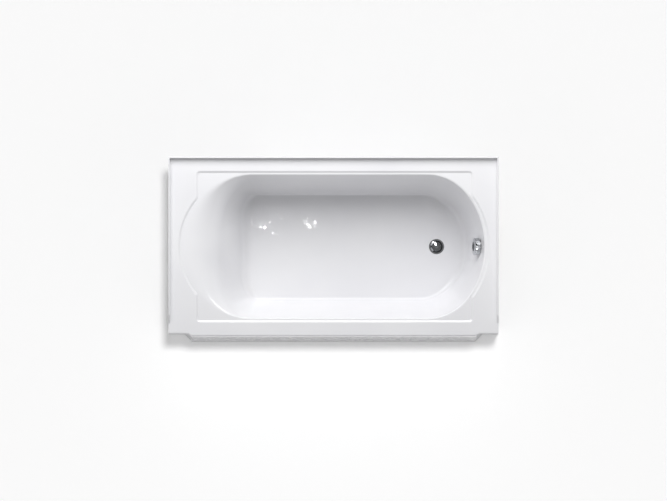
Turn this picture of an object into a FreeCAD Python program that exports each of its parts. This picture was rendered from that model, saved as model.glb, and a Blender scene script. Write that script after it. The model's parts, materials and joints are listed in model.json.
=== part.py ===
import FreeCAD, Part

import math
import os

from FreeCAD import Rotation, Vector

# Alcove bath in enamelled cast iron, with a cable-driven pop-up waste and overflow.
# Millimetres. X runs along the bath, towards the drain end; +Y is the back wall of the
# alcove and -Y the apron side; Z is up from the floor. The origin is on the floor, under
# the middle of the outline.

# ---- Casting: outline ----
bath_length = 1524.0
bath_depth = 857.0           # back of the tile flange to the foot of the apron
rim_height = 432.0
rim_thickness = 7.0
wall_thickness = 6.5
rim_front_setback = 29.5     # rim's front edge, behind the apron's foot
end_front_setback = 39.5     # front edge of the rim's two ends, at the top
end_foot_setback = 35.5      # the same ends at the floor
panel_inset_top = 103.0      # from the bath's end to the apron's raised front, at the top
panel_inset_foot = 105.0
return_width_top = 13.0
return_width_foot = 35.0
apron_end_return = 26.0
apron_top_radius = 7.0
apron_foot_radius = 5.0
panel_corner_radius = 9.0

# ---- Casting: tile flange ----
flange_height = 25.0
flange_thickness = 6.0
flange_foot_radius = 7.0
flange_top_radius = 2.0
flange_corner_radius = 10.0
flange_front_end = -302.0    # where the side flanges start to fall away
flange_run_out = 38.0

# ---- Casting: recessed frame round the basin ----
frame_drop = 6.0
frame_slope_width = 9.0
frame_back = 363.0
frame_front = -335.0
frame_left_inset = 128.0     # this and the insets below: from that end of the bath
frame_right_inset = 118.0
frame_corner_radius = 18.0
bulge_left_inset = 45.0
bulge_right_inset = 41.0
bulge_half_width = 344.0

# ---- Casting: basin ----
basin_center_y = 14.0
basin_floor_height = 90.0
floor_fall = 5.0             # rise of the floor from the drain to the foot of the backrest
open_half_width = 331.0
open_left_tip_inset = 190.0  # where the backrest's straight slope would meet the ledge
open_right_tip_inset = 64.0
open_left_center_inset = 388.0
open_right_center_inset = 324.0
open_left_flat = 14.0
floor_half_width = 243.0
floor_left_edge_inset = 350.0
floor_right_edge_inset = 150.0
floor_left_center_inset = 412.0
floor_right_center_inset = 362.0
floor_left_flat = 140.0
side_lip_radius = 6.0
left_lip_radius = 190.0      # long roll at the head of the backrest
right_lip_radius = 8.0
side_cove_radius = 22.0
left_cove_radius = 95.0
right_cove_radius = 75.0
inner_arc_steps = 4          # sections drawn round each lip and cove
outer_arc_steps = 3          # the same under the casting, where it is rough
lip_start = math.radians(8)
section_gap = 0.7            # sections closer together than this are drawn once
mouth_rise = 0.5             # the basin's cutter goes on this far above the ledge
foot_half_span = 150.0
foot_inset = 432.0           # from the bath's end to the middle of a foot
foot_top_radius = 38.0
foot_base_radius = 26.0

# ---- Pop-up waste ----
drain_inset = 284.5          # from the drain end of the bath
drain_flange_radius = 35.0
drain_flange_edge = 0.8
drain_flange_crown = 1.3
drain_recess_depth = 3.0
drain_recess_slope = math.radians(16)
drain_hole_radius = 26.0
drain_barrel_radius = 22.3
drain_barrel_bore = 18.6
drain_barrel_length = 24.0
drain_dish_radius = 21.5
drain_dish_drop = 1.2
drain_seat_drop = 3.4
spider_thickness = 3.0
spider_hub_radius = 6.0
spider_arm_width = 3.0
spider_arm_count = 3
spider_first_arm = 30        # degrees
stopper_radius = 20.0
stopper_crown = 4.6
stopper_top_radius = 9.0     # where its low cone turns into a rounded top
stopper_edge_top = 0.9
stopper_edge_foot = -1.7
stopper_hub_radius = 15.0
stopper_hub_foot = -5.6
stem_socket_depth = 3.5
seal_thickness = 3.0
stem_radius = 3.0

# ---- Waste pipework: nominal 1-1/2 in tube ----
tube_radius = 19.05
tube_wall = 1.0
socket_clearance = 0.1
fitting_wall = 2.6
waterway_radius = 17.5
socket_depth = 22.0
pipe_axis_height = 40.0
seat_skim = 0.25             # the casting is dressed flat round the waste hole
seat_margin = 2.0
gasket_radius = 34.0
gasket_thickness = 3.0
shoe_radius = 27.5
shoe_wall = 3.5
shoe_flange_thickness = 4.0
shoe_leg = 54.0
shoe_foot_height = 15.0
tee_leg = 52.0
tee_top_leg = 56.0
tee_foot_height = 8.0
tee_foot_socket_depth = 13.0
outlet_radius = 20.1         # bore of the tee's foot, for a 40 mm trap pipe
nut_radius = 26.0            # across its flats, halved
nut_skirt = 10.0
nut_lip = 3.0
nut_flat_count = 8
nut_clearance = 0.3
washer_thickness = 4.0

# ---- Overflow ----
overflow_height = 330.0
overflow_hole_radius = 31.0
overflow_hole_reach = 40.0   # the drill's run, to each side of the wall's face
boss_radius = 44.0
boss_height = 5.0
overflow_gasket_thickness = 6.0
elbow_flange_radius = 40.0
elbow_flange_thickness = 4.0
cup_radius = 27.0
cup_wall = 2.6
cup_depth = 32.0
elbow_drop = 62.0
retainer_radius = 34.0
retainer_ring_width = 12.0
retainer_thickness = 3.0
retainer_lift = 1.8          # the wall is curved, and the flat plate bears on its edges
retainer_hub_radius = 11.0
retainer_hub_length = 12.0
retainer_arm_width = 8.0
retainer_arm_count = 3
retainer_first_arm = 60      # degrees
screw_pitch_radius = 27.5
screw_radius = 2.2
screw_head_radius = 4.2
screw_head_height = 2.4
screw_slot_width = 1.2

# ---- Overflow handle ----
handle_radius = 39.5
handle_gap = 3.6             # between the basin wall and the handle's back edge
handle_depth = 25.4
handle_wall = 3.2
handle_crown = 2.6
handle_face_radius = 22.0    # flat middle of the crowned face
handle_edge_chamfer = 2.0
handle_grip_count = 10
handle_grip_radius = 6.0
handle_grip_bite = 1.5
handle_hub_radius = 11.0
handle_turn = 90.0           # degrees from closed to open
spindle_radius = 5.0
spindle_engagement = 14.0
running_clearance = 0.05
crank_radius = 13.0
crank_thickness = 6.0
crank_web = 1.0              # closes the disc over the spindle's end
crank_pin_radius = 2.0
crank_pin_length = 5.0
crank_middle = 45.0          # degrees from straight down to the pin, at half of its turn
eye_radius = 4.0
eye_thickness = 3.0
snap_ring_radius = 8.0
snap_ring_thickness = 1.2
set_screw_radius = 2.0
set_screw_length = 5.0

# ---- Cable and lift lever ----
cable_radius = 1.2
sheath_radius = 3.0
sheath_bore = 1.4
sheath_stand_off = 42.0      # sheath's centre line to the pipes' centre line
sheath_loop = 72.0           # how far the sheath swings out from the shoe
sheath_bend_radius = 24.0
port_radius = 5.5
port_reach = 12.0
ferrule_radius = 4.2
ferrule_length = 7.0          # socket's floor to the sheath's cut end
ferrule_grip = 5.0           # how much of the sheath the ferrule covers
ferrule_socket = 6.0
clip_band = 2.0
clip_width = 9.0
clip_web = 3.0
clip_shares = (0.2, 0.8)     # along the overflow tube, between its nuts
plunger_radius = 2.5
plunger_length = 11.0
lever_pivot_height = 52.0
lever_arm = 16.0
lever_drop = 12.0
lever_half_swing = math.radians(16.3)
lever_width = 6.0
lever_bar = 4.0
lever_hub_radius = 4.5
lever_tip_radius = 3.0
lever_heel_radius = 2.5
lever_pin_radius = 1.6
lever_pin_clearance = 0.02
lever_pin_setback = 1.0      # of its ends from the shoe's outside
contact_gap = 0.3

# ---- Working margins ----
overshoot = 1.0              # how far a cutter runs past the face that it opens
near = 1.0                   # how close an edge lies to the place where it is picked

# ---- Worked out from the sizes above ----
half_length = bath_length / 2
panel_half_width_top = half_length - panel_inset_top
panel_half_width_foot = half_length - panel_inset_foot
frame_left = frame_left_inset - half_length
frame_right = half_length - frame_right_inset
bulge_left_tip = bulge_left_inset - half_length
bulge_right_tip = half_length - bulge_right_inset
open_left_tip = open_left_tip_inset - half_length
open_right_tip = half_length - open_right_tip_inset
open_left_center = open_left_center_inset - half_length
open_right_center = half_length - open_right_center_inset
floor_left_edge = floor_left_edge_inset - half_length
floor_right_edge = half_length - floor_right_edge_inset
floor_left_center = floor_left_center_inset - half_length
floor_right_center = half_length - floor_right_center_inset
foot_x = half_length - foot_inset
drain_x = half_length - drain_inset
back_y = bath_depth / 2
foot_y = -bath_depth / 2
ledge_height = rim_height - frame_drop
basin_depth = ledge_height - basin_floor_height
fit_radius = tube_radius + socket_clearance
fitting_radius = fit_radius + fitting_wall
drain_axis = Vector(drain_x, basin_center_y, 0)
drain_seat_height = basin_floor_height - wall_thickness + seat_skim
stopper_travel = 2 * lever_arm * math.sin(lever_half_swing)
plunger_travel = 2 * lever_drop * math.sin(lever_half_swing)
crank_pitch = plunger_travel / (2 * math.sin(math.radians(handle_turn / 2)))
elbow_face = wall_thickness + boss_height + overflow_gasket_thickness
cup_middle = elbow_face + cup_depth / 2
X = Vector(1, 0, 0)
Y = Vector(0, 1, 0)
Z = Vector(0, 0, 1)


def prism(points, height):
    """A straight prism on a closed outline of points."""
    wire = Part.makePolygon(points + [points[0]])
    return Part.Face(wire).extrude(Vector(0, 0, height))


def block(x0, x1, y0, y1, z0, z1):
    """A box between two corners."""
    return Part.makeBox(x1 - x0, y1 - y0, z1 - z0, Vector(x0, y0, z0))


def rod(radius, length, base, axis=Z):
    """A round bar from its base along an axis."""
    return Part.makeCylinder(radius, length, base, axis)


def sleeve(outer, inner, length, base, axis=Z):
    """A round tube from its base along an axis."""
    return rod(outer, length, base, axis).cut(rod(inner, length, base, axis))


def turned(outline):
    """A solid of revolution about Z, from its half outline of (radius, height) points.

    An entry of four numbers is an arc: its middle point and then its end."""
    edges = []
    here = Vector(outline[0][0], 0, outline[0][1])
    for entry in outline[1:] + [outline[0]]:
        end = Vector(entry[-2], 0, entry[-1])
        if len(entry) == 4:
            middle = Vector(entry[0], 0, entry[1])
            edges.append(Part.Arc(here, middle, end).toShape())
        else:
            edges.append(Part.LineSegment(here, end).toShape())
        here = end
    return Part.Face(Part.Wire(edges)).revolve(Vector(0, 0, 0), Z, 360)


def crown(radius, edge_height, top_radius, top_height):
    """Two entries of an outline: a low cone that runs into a rounded top on the axis."""
    tilt = math.atan2(top_height - edge_height, radius - top_radius / 2)
    sphere = top_radius / math.sin(tilt)
    center = top_height - sphere
    half = tilt / 2
    return [
        (top_radius, center + sphere * math.cos(tilt)),
        (sphere * math.sin(half), center + sphere * math.cos(half), 0, top_height),
    ]


def edges_where(shape, test):
    """The edges whose whole box passes a test."""
    return [edge for edge in shape.Edges if test(edge.BoundBox)]


def fused(shapes):
    """One solid from overlapping shapes, with its seams merged."""
    return shapes[0].multiFuse(shapes[1:]).removeSplitter()


def placed(shape, base, rotation=Rotation()):
    """A copy of a shape, turned and then moved."""
    moved = shape.copy()
    moved.Placement = FreeCAD.Placement(base, rotation).multiply(shape.Placement)
    return moved


def export(name, shape):
    """Writes one sub-part."""
    shape.exportStep("parts/%s.step" % name)


# ---------------------------------------------------------------- casting

def rounded_outline(points, radii):
    """A closed wire through corner points, each rounded by its own radius."""
    edges = []
    count = len(points)
    joints = []
    for i in range(count):
        before = (points[i - 1] - points[i]).normalize()
        after = (points[(i + 1) % count] - points[i]).normalize()
        half_angle = before.getAngle(after) / 2
        reach = radii[i] / math.tan(half_angle)
        middle = (before + after).normalize()
        bulge = radii[i] / math.sin(half_angle) - radii[i]
        joints.append((points[i] + before * reach, points[i] + middle * bulge,
                       points[i] + after * reach))
    for i in range(count):
        start, middle, end = joints[i]
        if radii[i] > 0:
            edges.append(Part.Arc(start, middle, end).toShape())
        edges.append(Part.LineSegment(end, joints[(i + 1) % count][0]).toShape())
    return Part.Wire(edges)


def footprint(z, inset):
    """The bath's outline at a height, drawn in from the apron by a wall thickness."""
    f = z / rim_height
    panel = panel_half_width_foot + (panel_half_width_top - panel_half_width_foot) * f
    run = return_width_foot + (return_width_top - return_width_foot) * f
    front = foot_y + rim_front_setback * f + inset
    end_setback = end_foot_setback + (end_front_setback - end_foot_setback) * f
    end_front = foot_y + end_setback + inset
    half = half_length - inset
    shift = inset * math.tan(math.radians(22.5))
    points = [
        Vector(-half, back_y, z),
        Vector(-half, end_front, z),
        Vector(-panel - run + shift, end_front, z),
        Vector(-panel + shift, front, z),
        Vector(panel - shift, front, z),
        Vector(panel + run - shift, end_front, z),
        Vector(half, end_front, z),
        Vector(half, back_y, z),
    ]
    bend = panel_corner_radius - inset
    return rounded_outline(points, [0, 0, bend, bend, bend, bend, 0, 0])


def tapered_block(low, high, inset):
    """The bath's outline carried between two heights, with the apron's slope."""
    return Part.makeLoft([footprint(low, inset), footprint(high, inset)], True, True)


def rim_and_apron():
    """Rim plate, apron and tile flange, with their rounded edges."""
    body = tapered_block(0, rim_height, 0)

    def along_front(box):
        level = box.ZLength < near
        return level and box.YMax < foot_y + end_front_setback + near

    body = body.makeFillet(apron_top_radius, edges_where(
        body, lambda box: along_front(box) and box.ZMin > rim_height - near))
    body = body.makeFillet(apron_foot_radius, edges_where(
        body, lambda box: along_front(box) and box.ZMax < near))
    under = rim_height - rim_thickness
    hollow = tapered_block(-overshoot, under, wall_thickness)
    return_back = foot_y + end_front_setback + apron_end_return
    past_end = half_length + overshoot
    open_back = block(-past_end, past_end, return_back, back_y + overshoot, -overshoot, under)
    body = body.cut(hollow).cut(open_back)

    return with_tile_flange(body)


def with_tile_flange(body):
    """Adds the upstand that the wall tiles lap over, on the back and both ends."""
    top = rim_height + flange_height
    front = flange_front_end - flange_run_out
    inner_x = half_length - flange_thickness
    inner_y = back_y - flange_thickness
    outer = block(-half_length, half_length, front, back_y, rim_height - rim_thickness, top)
    inner = block(-inner_x, inner_x, foot_y, inner_y, 0, top + overshoot)
    body = fused([body, outer.cut(inner)])

    def inner_corner(box):
        upright = box.ZLength > flange_height - near and box.ZMin > rim_height - near
        return upright and box.YMin > inner_y - near

    def flange_foot(box):
        low = box.ZMin > rim_height - near and box.ZMax < rim_height + near
        reached = box.YMin > front - near and box.YMax < inner_y + near
        at_back = box.YMin > inner_y - flange_corner_radius - near
        at_side = abs(abs(box.Center.x) - inner_x) < flange_corner_radius + near
        return low and reached and (at_back or (at_side and box.XLength < near))

    body = body.makeFillet(flange_corner_radius, edges_where(
        body, lambda box: inner_corner(box) and abs(box.Center.x) < inner_x + near))
    body = body.makeFillet(flange_foot_radius, edges_where(body, flange_foot))
    past_end = half_length + overshoot
    run_out = [
        Vector(-past_end, flange_front_end, top),
        Vector(-past_end, front, rim_height),
        Vector(-past_end, front - overshoot, rim_height),
        Vector(-past_end, front - overshoot, top + overshoot),
        Vector(-past_end, flange_front_end, top + overshoot),
    ]
    run_out_face = Part.Face(Part.makePolygon(run_out + [run_out[0]]))
    body = body.cut(run_out_face.extrude(Vector(2 * past_end, 0, 0)))

    def along_top(box):
        return box.ZMin > top - near and box.XLength + box.YLength > 2 * flange_thickness

    return body.makeFillet(flange_top_radius, edges_where(body, along_top))


def ellipse_frustum(center_x, tip_x, z_low, z_high, draw_in):
    """An upright elliptical plug, narrower at its foot by draw_in."""
    wires = []
    for z, inset in ((z_low, draw_in), (z_high, 0)):
        semi_x = abs(tip_x - center_x) - inset
        semi_y = bulge_half_width - inset
        center = Vector(center_x, basin_center_y, z)
        if semi_x >= semi_y:
            curve = Part.Ellipse(center + Vector(semi_x, 0, 0),
                                 center + Vector(0, semi_y, 0), center)
        else:
            curve = Part.Ellipse(center + Vector(0, semi_y, 0),
                                 center + Vector(-semi_x, 0, 0), center)
        wires.append(Part.Wire([curve.toShape()]))
    return Part.makeLoft(wires, True, True)


def frame_outline(z, inset):
    """The recessed frame's rectangle with its rounded corners."""
    x0 = frame_left + inset
    x1 = frame_right - inset
    y0 = frame_front + inset
    y1 = frame_back - inset
    corners = [Vector(x0, y0, z), Vector(x1, y0, z), Vector(x1, y1, z), Vector(x0, y1, z)]
    return rounded_outline(corners, [frame_corner_radius - inset] * 4)


def frame_recess(low, high, draw_in, grow):
    """The stepped frame round the basin, as a solid: a rectangle with two bulging ends."""
    wires = []
    for z, inset in ((low, draw_in - grow), (high, -grow)):
        wires.append(frame_outline(z, inset))
    rectangle = Part.makeLoft(wires, True, True)
    left = ellipse_frustum(open_left_center, bulge_left_tip - grow, low, high, draw_in)
    right = ellipse_frustum(open_right_center, bulge_right_tip + grow, low, high, draw_in)
    return rectangle.multiFuse([left, right])


def wall_reach(drop, depth, reach_top, reach_floor, lip, cove):
    """How far a basin wall stands out at a drop below the ledge.

    The wall is a straight slope between its reach at the ledge and at the floor, with a
    lip arc that rolls in from the ledge and a cove arc that runs out into the floor.
    Above the ledge it goes on outwards at the angle at which the lip begins."""
    slope = (reach_top - reach_floor) / depth
    wall_angle = math.atan2(1.0, slope)
    lip_drop = lip * (math.cos(lip_start) - math.cos(wall_angle))
    lip_center = reach_top - slope * lip_drop + lip * math.sin(wall_angle)
    cove_rise = cove * (1 - math.cos(wall_angle))
    if drop < 0:
        return lip_center - lip * math.sin(lip_start) - drop / math.tan(lip_start)
    if drop < lip_drop:
        return lip_center - math.sqrt(lip ** 2 - (lip * math.cos(lip_start) - drop) ** 2)
    if depth - drop < cove_rise:
        below = cove - (depth - drop)
        run_out = reach_floor - cove * math.tan(wall_angle / 2)
        return run_out + math.sqrt(cove ** 2 - below ** 2)
    return reach_top - slope * drop


def backrest_angle():
    """The backrest's slope from the horizontal, in radians."""
    return math.atan2(basin_depth, floor_left_edge - open_left_tip)


def backrest_reach(drop, grow):
    """How far the backrest stands out at a drop below the ledge.

    Its roll is long and flat at the top, so the outer skin is a true offset: it keeps the
    roll's centre, and its slope lies a wall's thickness behind the inner one."""
    angle = backrest_angle()
    out = grow * (1 - math.cos(angle) * math.cos(lip_start)) / math.sin(angle)
    inner_drop = drop
    if grow > 0:
        inner_drop = max(drop - grow, 0)
    return out + wall_reach(inner_drop, basin_depth, -open_left_tip, -floor_left_edge,
                            left_lip_radius - grow, left_cove_radius + grow)


def basin_contour(drop, grow):
    """The basin's closed outline at a drop below the ledge, pushed out by a wall."""
    depth = basin_depth + grow
    f = max(drop, 0) / depth
    half = wall_reach(drop, depth, open_half_width, floor_half_width,
                      side_lip_radius, side_cove_radius + grow) + grow
    left = -backrest_reach(drop, grow)
    right = wall_reach(drop, depth, open_right_tip, floor_right_edge,
                       right_lip_radius, right_cove_radius + grow) + grow
    left_center = open_left_center + (floor_left_center - open_left_center) * f
    right_center = open_right_center + (floor_right_center - open_right_center) * f
    flat = open_left_flat + (floor_left_flat - open_left_flat) * f
    # the floor rises gently away from the drain, and the rim stays level
    tilt = floor_fall * f / (drain_x - floor_left_edge)

    def point(x, y):
        rise = tilt * (drain_x - x)
        return Vector(x, basin_center_y + y, ledge_height - drop + rise)

    def quarter(x_center, x_tip, y_center, y_side, first_side):
        """A quarter of an ellipse, between a long side and an end of the basin."""
        poles = [point(x_center, y_side), point(x_tip, y_side), point(x_tip, y_center)]
        if not first_side:
            poles.reverse()
        curve = Part.BSplineCurve()
        curve.buildFromPolesMultsKnots(poles, [3, 3], [0, 1], False, 2, [1, math.sqrt(0.5), 1])
        return curve.toShape()

    edges = [
        Part.LineSegment(point(left_center, half), point(right_center, half)).toShape(),
        quarter(right_center, right, 0, half, True),
        quarter(right_center, right, 0, -half, False),
        Part.LineSegment(point(right_center, -half), point(left_center, -half)).toShape(),
        quarter(left_center, left, -flat, -half, True),
        Part.LineSegment(point(left, -flat), point(left, flat)).toShape(),
        quarter(left_center, left, flat, half, False),
    ]
    return Part.Wire(edges)


def section_drops(depth, arc_steps):
    """Drops below the ledge at which the basin is drawn: close together round its arcs."""
    drops = {depth}
    for radius, end in ((side_lip_radius, math.pi / 2), (left_lip_radius, backrest_angle())):
        for step in range(arc_steps + 1):
            angle = lip_start + (end - lip_start) * step / arc_steps
            drops.add(radius * (math.cos(lip_start) - math.cos(angle)))
    for radius, end in ((side_cove_radius, math.pi / 2), (left_cove_radius, backrest_angle())):
        for step in range(1, arc_steps + 1):
            drops.add(depth - radius * (1 - math.cos(end * step / arc_steps)))
    kept = [-mouth_rise]
    for drop in sorted(drops):
        if drop - kept[-1] > section_gap or drop == 0:
            kept.append(drop)
    kept[-1] = depth
    return kept


def basin_solid(grow):
    """The basin's hollow, or with grow its outer skin, as one lofted solid."""
    depth = basin_depth + grow
    drops = section_drops(depth, inner_arc_steps)
    if grow > 0:
        drops = section_drops(depth, outer_arc_steps)[1:]
    return Part.makeLoft([basin_contour(drop, grow) for drop in drops], True, True)


def casting_feet():
    """Four stub feet cast under the basin."""
    feet = []
    for x in (-foot_x, foot_x):
        for side in (-1, 1):
            base = Vector(x, basin_center_y + side * foot_half_span, 0)
            feet.append(Part.makeCone(foot_base_radius, foot_top_radius,
                                      basin_floor_height, base))
    return feet


def tub_casting():
    """The whole enamelled casting."""
    body = rim_and_apron()
    ledge = frame_recess(ledge_height - rim_thickness, ledge_height, 0, wall_thickness)
    shell = basin_solid(wall_thickness)
    pad = rod(boss_radius, boss_height + wall_thickness / 2,
              overflow_point(wall_thickness / 2), overflow_axis())
    body = body.fuse(ledge).fuse(shell).multiFuse([pad] + casting_feet())
    body = body.cut(frame_recess(ledge_height, rim_height, frame_slope_width, 0))
    body = body.cut(basin_solid(0))
    drain = drain_axis
    body = body.cut(rod(drain_hole_radius, rim_height, drain))
    body = body.cut(rod(gasket_radius + seat_margin, drain_seat_height, drain))
    recess_top = drain_hole_radius + 2 * drain_recess_depth / math.tan(drain_recess_slope)
    recess = Part.makeCone(drain_hole_radius, recess_top, 2 * drain_recess_depth,
                           drain + Z * (basin_floor_height - drain_recess_depth))
    body = body.cut(recess)
    hole = rod(overflow_hole_radius, 2 * overflow_hole_reach,
               overflow_point(-overflow_hole_reach), overflow_axis())
    return body.cut(hole).removeSplitter()


# ---------------------------------------------------------------- overflow axis

def overflow_slope():
    """Angle of the drain end wall from the vertical, in radians."""
    return math.atan2(open_right_tip - floor_right_edge, basin_depth)


def overflow_axis():
    """Out through the wall, away from the basin."""
    angle = overflow_slope()
    return Vector(math.cos(angle), 0, -math.sin(angle))


def overflow_down():
    """Along the wall and down it, square to the overflow's axis."""
    return overflow_axis().cross(Y) * -1


def overflow_point(out):
    """A point on the overflow's axis, at a distance out from the basin's inner face."""
    drop = ledge_height - overflow_height
    face_x = open_right_tip - drop * math.tan(overflow_slope())
    return Vector(face_x, basin_center_y, overflow_height) + overflow_axis() * out


def at_overflow(shape, out):
    """Lays a piece drawn along Z on the overflow's axis, with its own X along the wall."""
    turn = Rotation(overflow_down() * -1, Y, overflow_axis(), "ZXY")
    return placed(shape, overflow_point(out), turn)


def into_basin(shape, out):
    """The same, with the piece's Z pointing back into the basin."""
    turn = Rotation(overflow_down(), Y, overflow_axis() * -1, "ZXY")
    return placed(shape, overflow_point(out), turn)


def around(shape, count, start=0):
    """Copies of a shape spaced evenly round Z."""
    return [placed(shape, Vector(0, 0, 0), Rotation(Z, start + 360 * i / count))
            for i in range(count)]


# ---------------------------------------------------------------- pop-up waste

def drain_body():
    """Waste flange and threaded barrel, with the spider that guides the stem."""
    slope = math.tan(drain_recess_slope)
    edge_foot = contact_gap - drain_recess_depth
    edge_foot += (drain_flange_radius - drain_hole_radius) * slope
    inner_foot = contact_gap - drain_recess_depth
    inner = drain_hole_radius - contact_gap
    barrel_foot = -drain_barrel_length
    crown_radius = (drain_flange_radius + drain_dish_radius) / 2
    body = turned([
        (drain_flange_radius, edge_foot),
        (drain_flange_radius, drain_flange_edge),
        (crown_radius, drain_flange_crown),
        (drain_dish_radius, -drain_dish_drop),
        (drain_barrel_bore, -drain_seat_drop),
        (drain_barrel_bore, barrel_foot),
        (drain_barrel_radius, barrel_foot),
        (drain_barrel_radius, inner_foot),
        (inner, inner_foot),
    ])
    foot = Vector(0, 0, barrel_foot)
    arm = block(0, drain_barrel_bore + overshoot, -spider_arm_width / 2,
                spider_arm_width / 2, barrel_foot, barrel_foot + spider_thickness)
    hub = rod(spider_hub_radius, spider_thickness, foot)
    body = fused([body, hub] + around(arm, spider_arm_count, spider_first_arm))
    body = body.cut(rod(stem_radius + running_clearance, drain_barrel_length, foot))
    return placed(body, drain_axis + Z * basin_floor_height)


def stopper_cap():
    """Domed stopper, with the hub that carries its seal and stem."""
    body = turned([
        (0, stopper_hub_foot),
        (stopper_hub_radius, stopper_hub_foot),
        (stopper_hub_radius, stopper_edge_foot),
        (stopper_radius, stopper_edge_foot),
        (stopper_radius, stopper_edge_top),
    ] + crown(stopper_radius, stopper_edge_top, stopper_top_radius, stopper_crown))
    socket = rod(stem_radius + running_clearance, stem_socket_depth,
                 Vector(0, 0, stopper_hub_foot))
    return placed(body.cut(socket), drain_axis + Z * basin_floor_height)


def stopper_seal():
    """Rubber ring under the stopper's edge."""
    outer = drain_barrel_bore - contact_gap
    base = Vector(0, 0, stopper_edge_foot - seal_thickness)
    ring = sleeve(outer, stopper_hub_radius + running_clearance, seal_thickness, base)
    return placed(ring, drain_axis + Z * basin_floor_height)


def stem_foot_height():
    """Where the stem stands on the lever's tip, with the stopper closed."""
    tip = lever_pivot_height - lever_arm * math.sin(lever_half_swing) + lever_tip_radius
    return tip + contact_gap


def stopper_stem():
    """Lift rod from the stopper's hub down to the lever."""
    top = basin_floor_height + stopper_hub_foot + stem_socket_depth
    foot = stem_foot_height()
    return rod(stem_radius, top - foot, drain_axis + Z * foot)


def drain_gasket():
    """Flat rubber ring between the casting and the shoe."""
    base = drain_axis + Z * (drain_seat_height - gasket_thickness)
    return sleeve(gasket_radius, drain_barrel_radius + contact_gap, gasket_thickness, base)


def lever_pivot():
    """Centre of the lever's pivot."""
    return drain_axis - Y * lever_arm + Z * lever_pivot_height


def drain_shoe():
    """Elbow under the waste: a chamber for the lever, and the leg to the waste tube."""
    top = drain_seat_height - gasket_thickness
    barrel_foot = basin_floor_height - drain_barrel_length
    axis_point = drain_axis + Z * pipe_axis_height
    chamber = shoe_radius - shoe_wall
    body = fused([
        rod(shoe_radius, top - shoe_foot_height, drain_axis + Z * shoe_foot_height),
        rod(gasket_radius, shoe_flange_thickness,
            drain_axis + Z * (top - shoe_flange_thickness)),
        rod(fitting_radius, shoe_leg, axis_point, X),
        rod(port_radius, port_reach + shoe_wall, axis_point - Y * chamber, -Y),
    ])
    floor = shoe_foot_height + shoe_wall
    body = body.cut(rod(chamber, barrel_foot - floor, drain_axis + Z * floor))
    body = body.cut(rod(drain_barrel_radius + running_clearance, top, drain_axis + Z * floor))
    body = body.cut(rod(waterway_radius, shoe_leg, axis_point, X))
    body = body.cut(rod(fit_radius, socket_depth,
                        axis_point + X * (shoe_leg - socket_depth), X))
    body = body.cut(rod(plunger_radius + running_clearance, shoe_radius + port_reach,
                        axis_point, -Y))
    body = body.cut(rod(ferrule_radius + running_clearance, ferrule_socket,
                        axis_point - Y * (shoe_radius + port_reach - ferrule_socket), -Y))
    pin_hole = rod(lever_pin_radius + lever_pin_clearance, 2 * shoe_radius,
                   lever_pivot() - X * shoe_radius, X)
    return body.cut(pin_hole)


def lever_pin():
    """Pin across the shoe's chamber, under the lever's hub."""
    half = math.sqrt(shoe_radius ** 2 - lever_arm ** 2) - lever_pin_setback
    return rod(lever_pin_radius, 2 * half, lever_pivot() - X * half, X)


def lift_lever():
    """Bell crank: the cable pushes its heel, and its tip lifts the stem."""
    half = lever_width / 2
    bar = lever_bar / 2
    side = Vector(-half, 0, 0)
    body = fused([
        rod(lever_hub_radius, lever_width, side, X),
        rod(lever_tip_radius, lever_width, side + Y * lever_arm, X),
        rod(lever_heel_radius, lever_width, side - Z * lever_drop, X),
        block(-half, half, 0, lever_arm, -bar, bar),
        block(-half, half, -bar, bar, -lever_drop, 0),
    ])
    body = body.cut(rod(lever_pin_radius + running_clearance, lever_width, side, X))
    return placed(body, lever_pivot(), Rotation(X, -math.degrees(lever_half_swing)))


def plunger_face():
    """Distance from the drain's axis to the plunger's inner end, with the stopper closed."""
    heel = lever_drop * math.sin(lever_half_swing) + lever_heel_radius
    return lever_arm + heel + contact_gap


def cable_plunger():
    """Push rod on the cable's lower end."""
    base = drain_axis + Z * pipe_axis_height - Y * plunger_face()
    return rod(plunger_radius, plunger_length, base, -Y)


# ---------------------------------------------------------------- pipework

def pipe_corner():
    """Where the overflow's vertical line meets the waste tube's line."""
    return Vector(overflow_point(cup_middle).x, basin_center_y, pipe_axis_height)


def waste_tube():
    """Horizontal tube from the shoe to the tee."""
    start = drain_axis + Z * pipe_axis_height
    start += X * (shoe_leg - socket_depth + contact_gap)
    end = pipe_corner() - X * (tee_leg - socket_depth + contact_gap)
    return sleeve(tube_radius, tube_radius - tube_wall, end.x - start.x, start, X)


def tee_top_height():
    """Top end of the tee."""
    return pipe_axis_height + tee_top_leg


def waste_tee():
    """Tee that joins the waste tube, the overflow tube and the trap's tailpiece."""
    corner = pipe_corner()
    foot = Vector(corner.x, corner.y, tee_foot_height)
    height = tee_top_height() - tee_foot_height
    body = fused([rod(fitting_radius, height, foot), rod(fitting_radius, tee_leg, corner, -X)])
    body = body.cut(rod(waterway_radius, height, foot))
    body = body.cut(rod(waterway_radius, tee_leg, corner, -X))
    body = body.cut(rod(outlet_radius, tee_foot_socket_depth, foot))
    body = body.cut(rod(fit_radius, socket_depth, foot + Z * (height - socket_depth)))
    return body.cut(rod(fit_radius, socket_depth, corner - X * (tee_leg - socket_depth), -X))


def elbow_foot():
    """Lower end of the overflow elbow."""
    corner = pipe_corner()
    return Vector(corner.x, corner.y, overflow_point(cup_middle).z - elbow_drop)


def overflow_tube():
    """Vertical tube from the overflow elbow to the tee."""
    corner = pipe_corner()
    foot = tee_top_height() - socket_depth + contact_gap
    top = elbow_foot().z + socket_depth - contact_gap
    return sleeve(tube_radius, tube_radius - tube_wall, top - foot,
                  Vector(corner.x, corner.y, foot))


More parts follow.
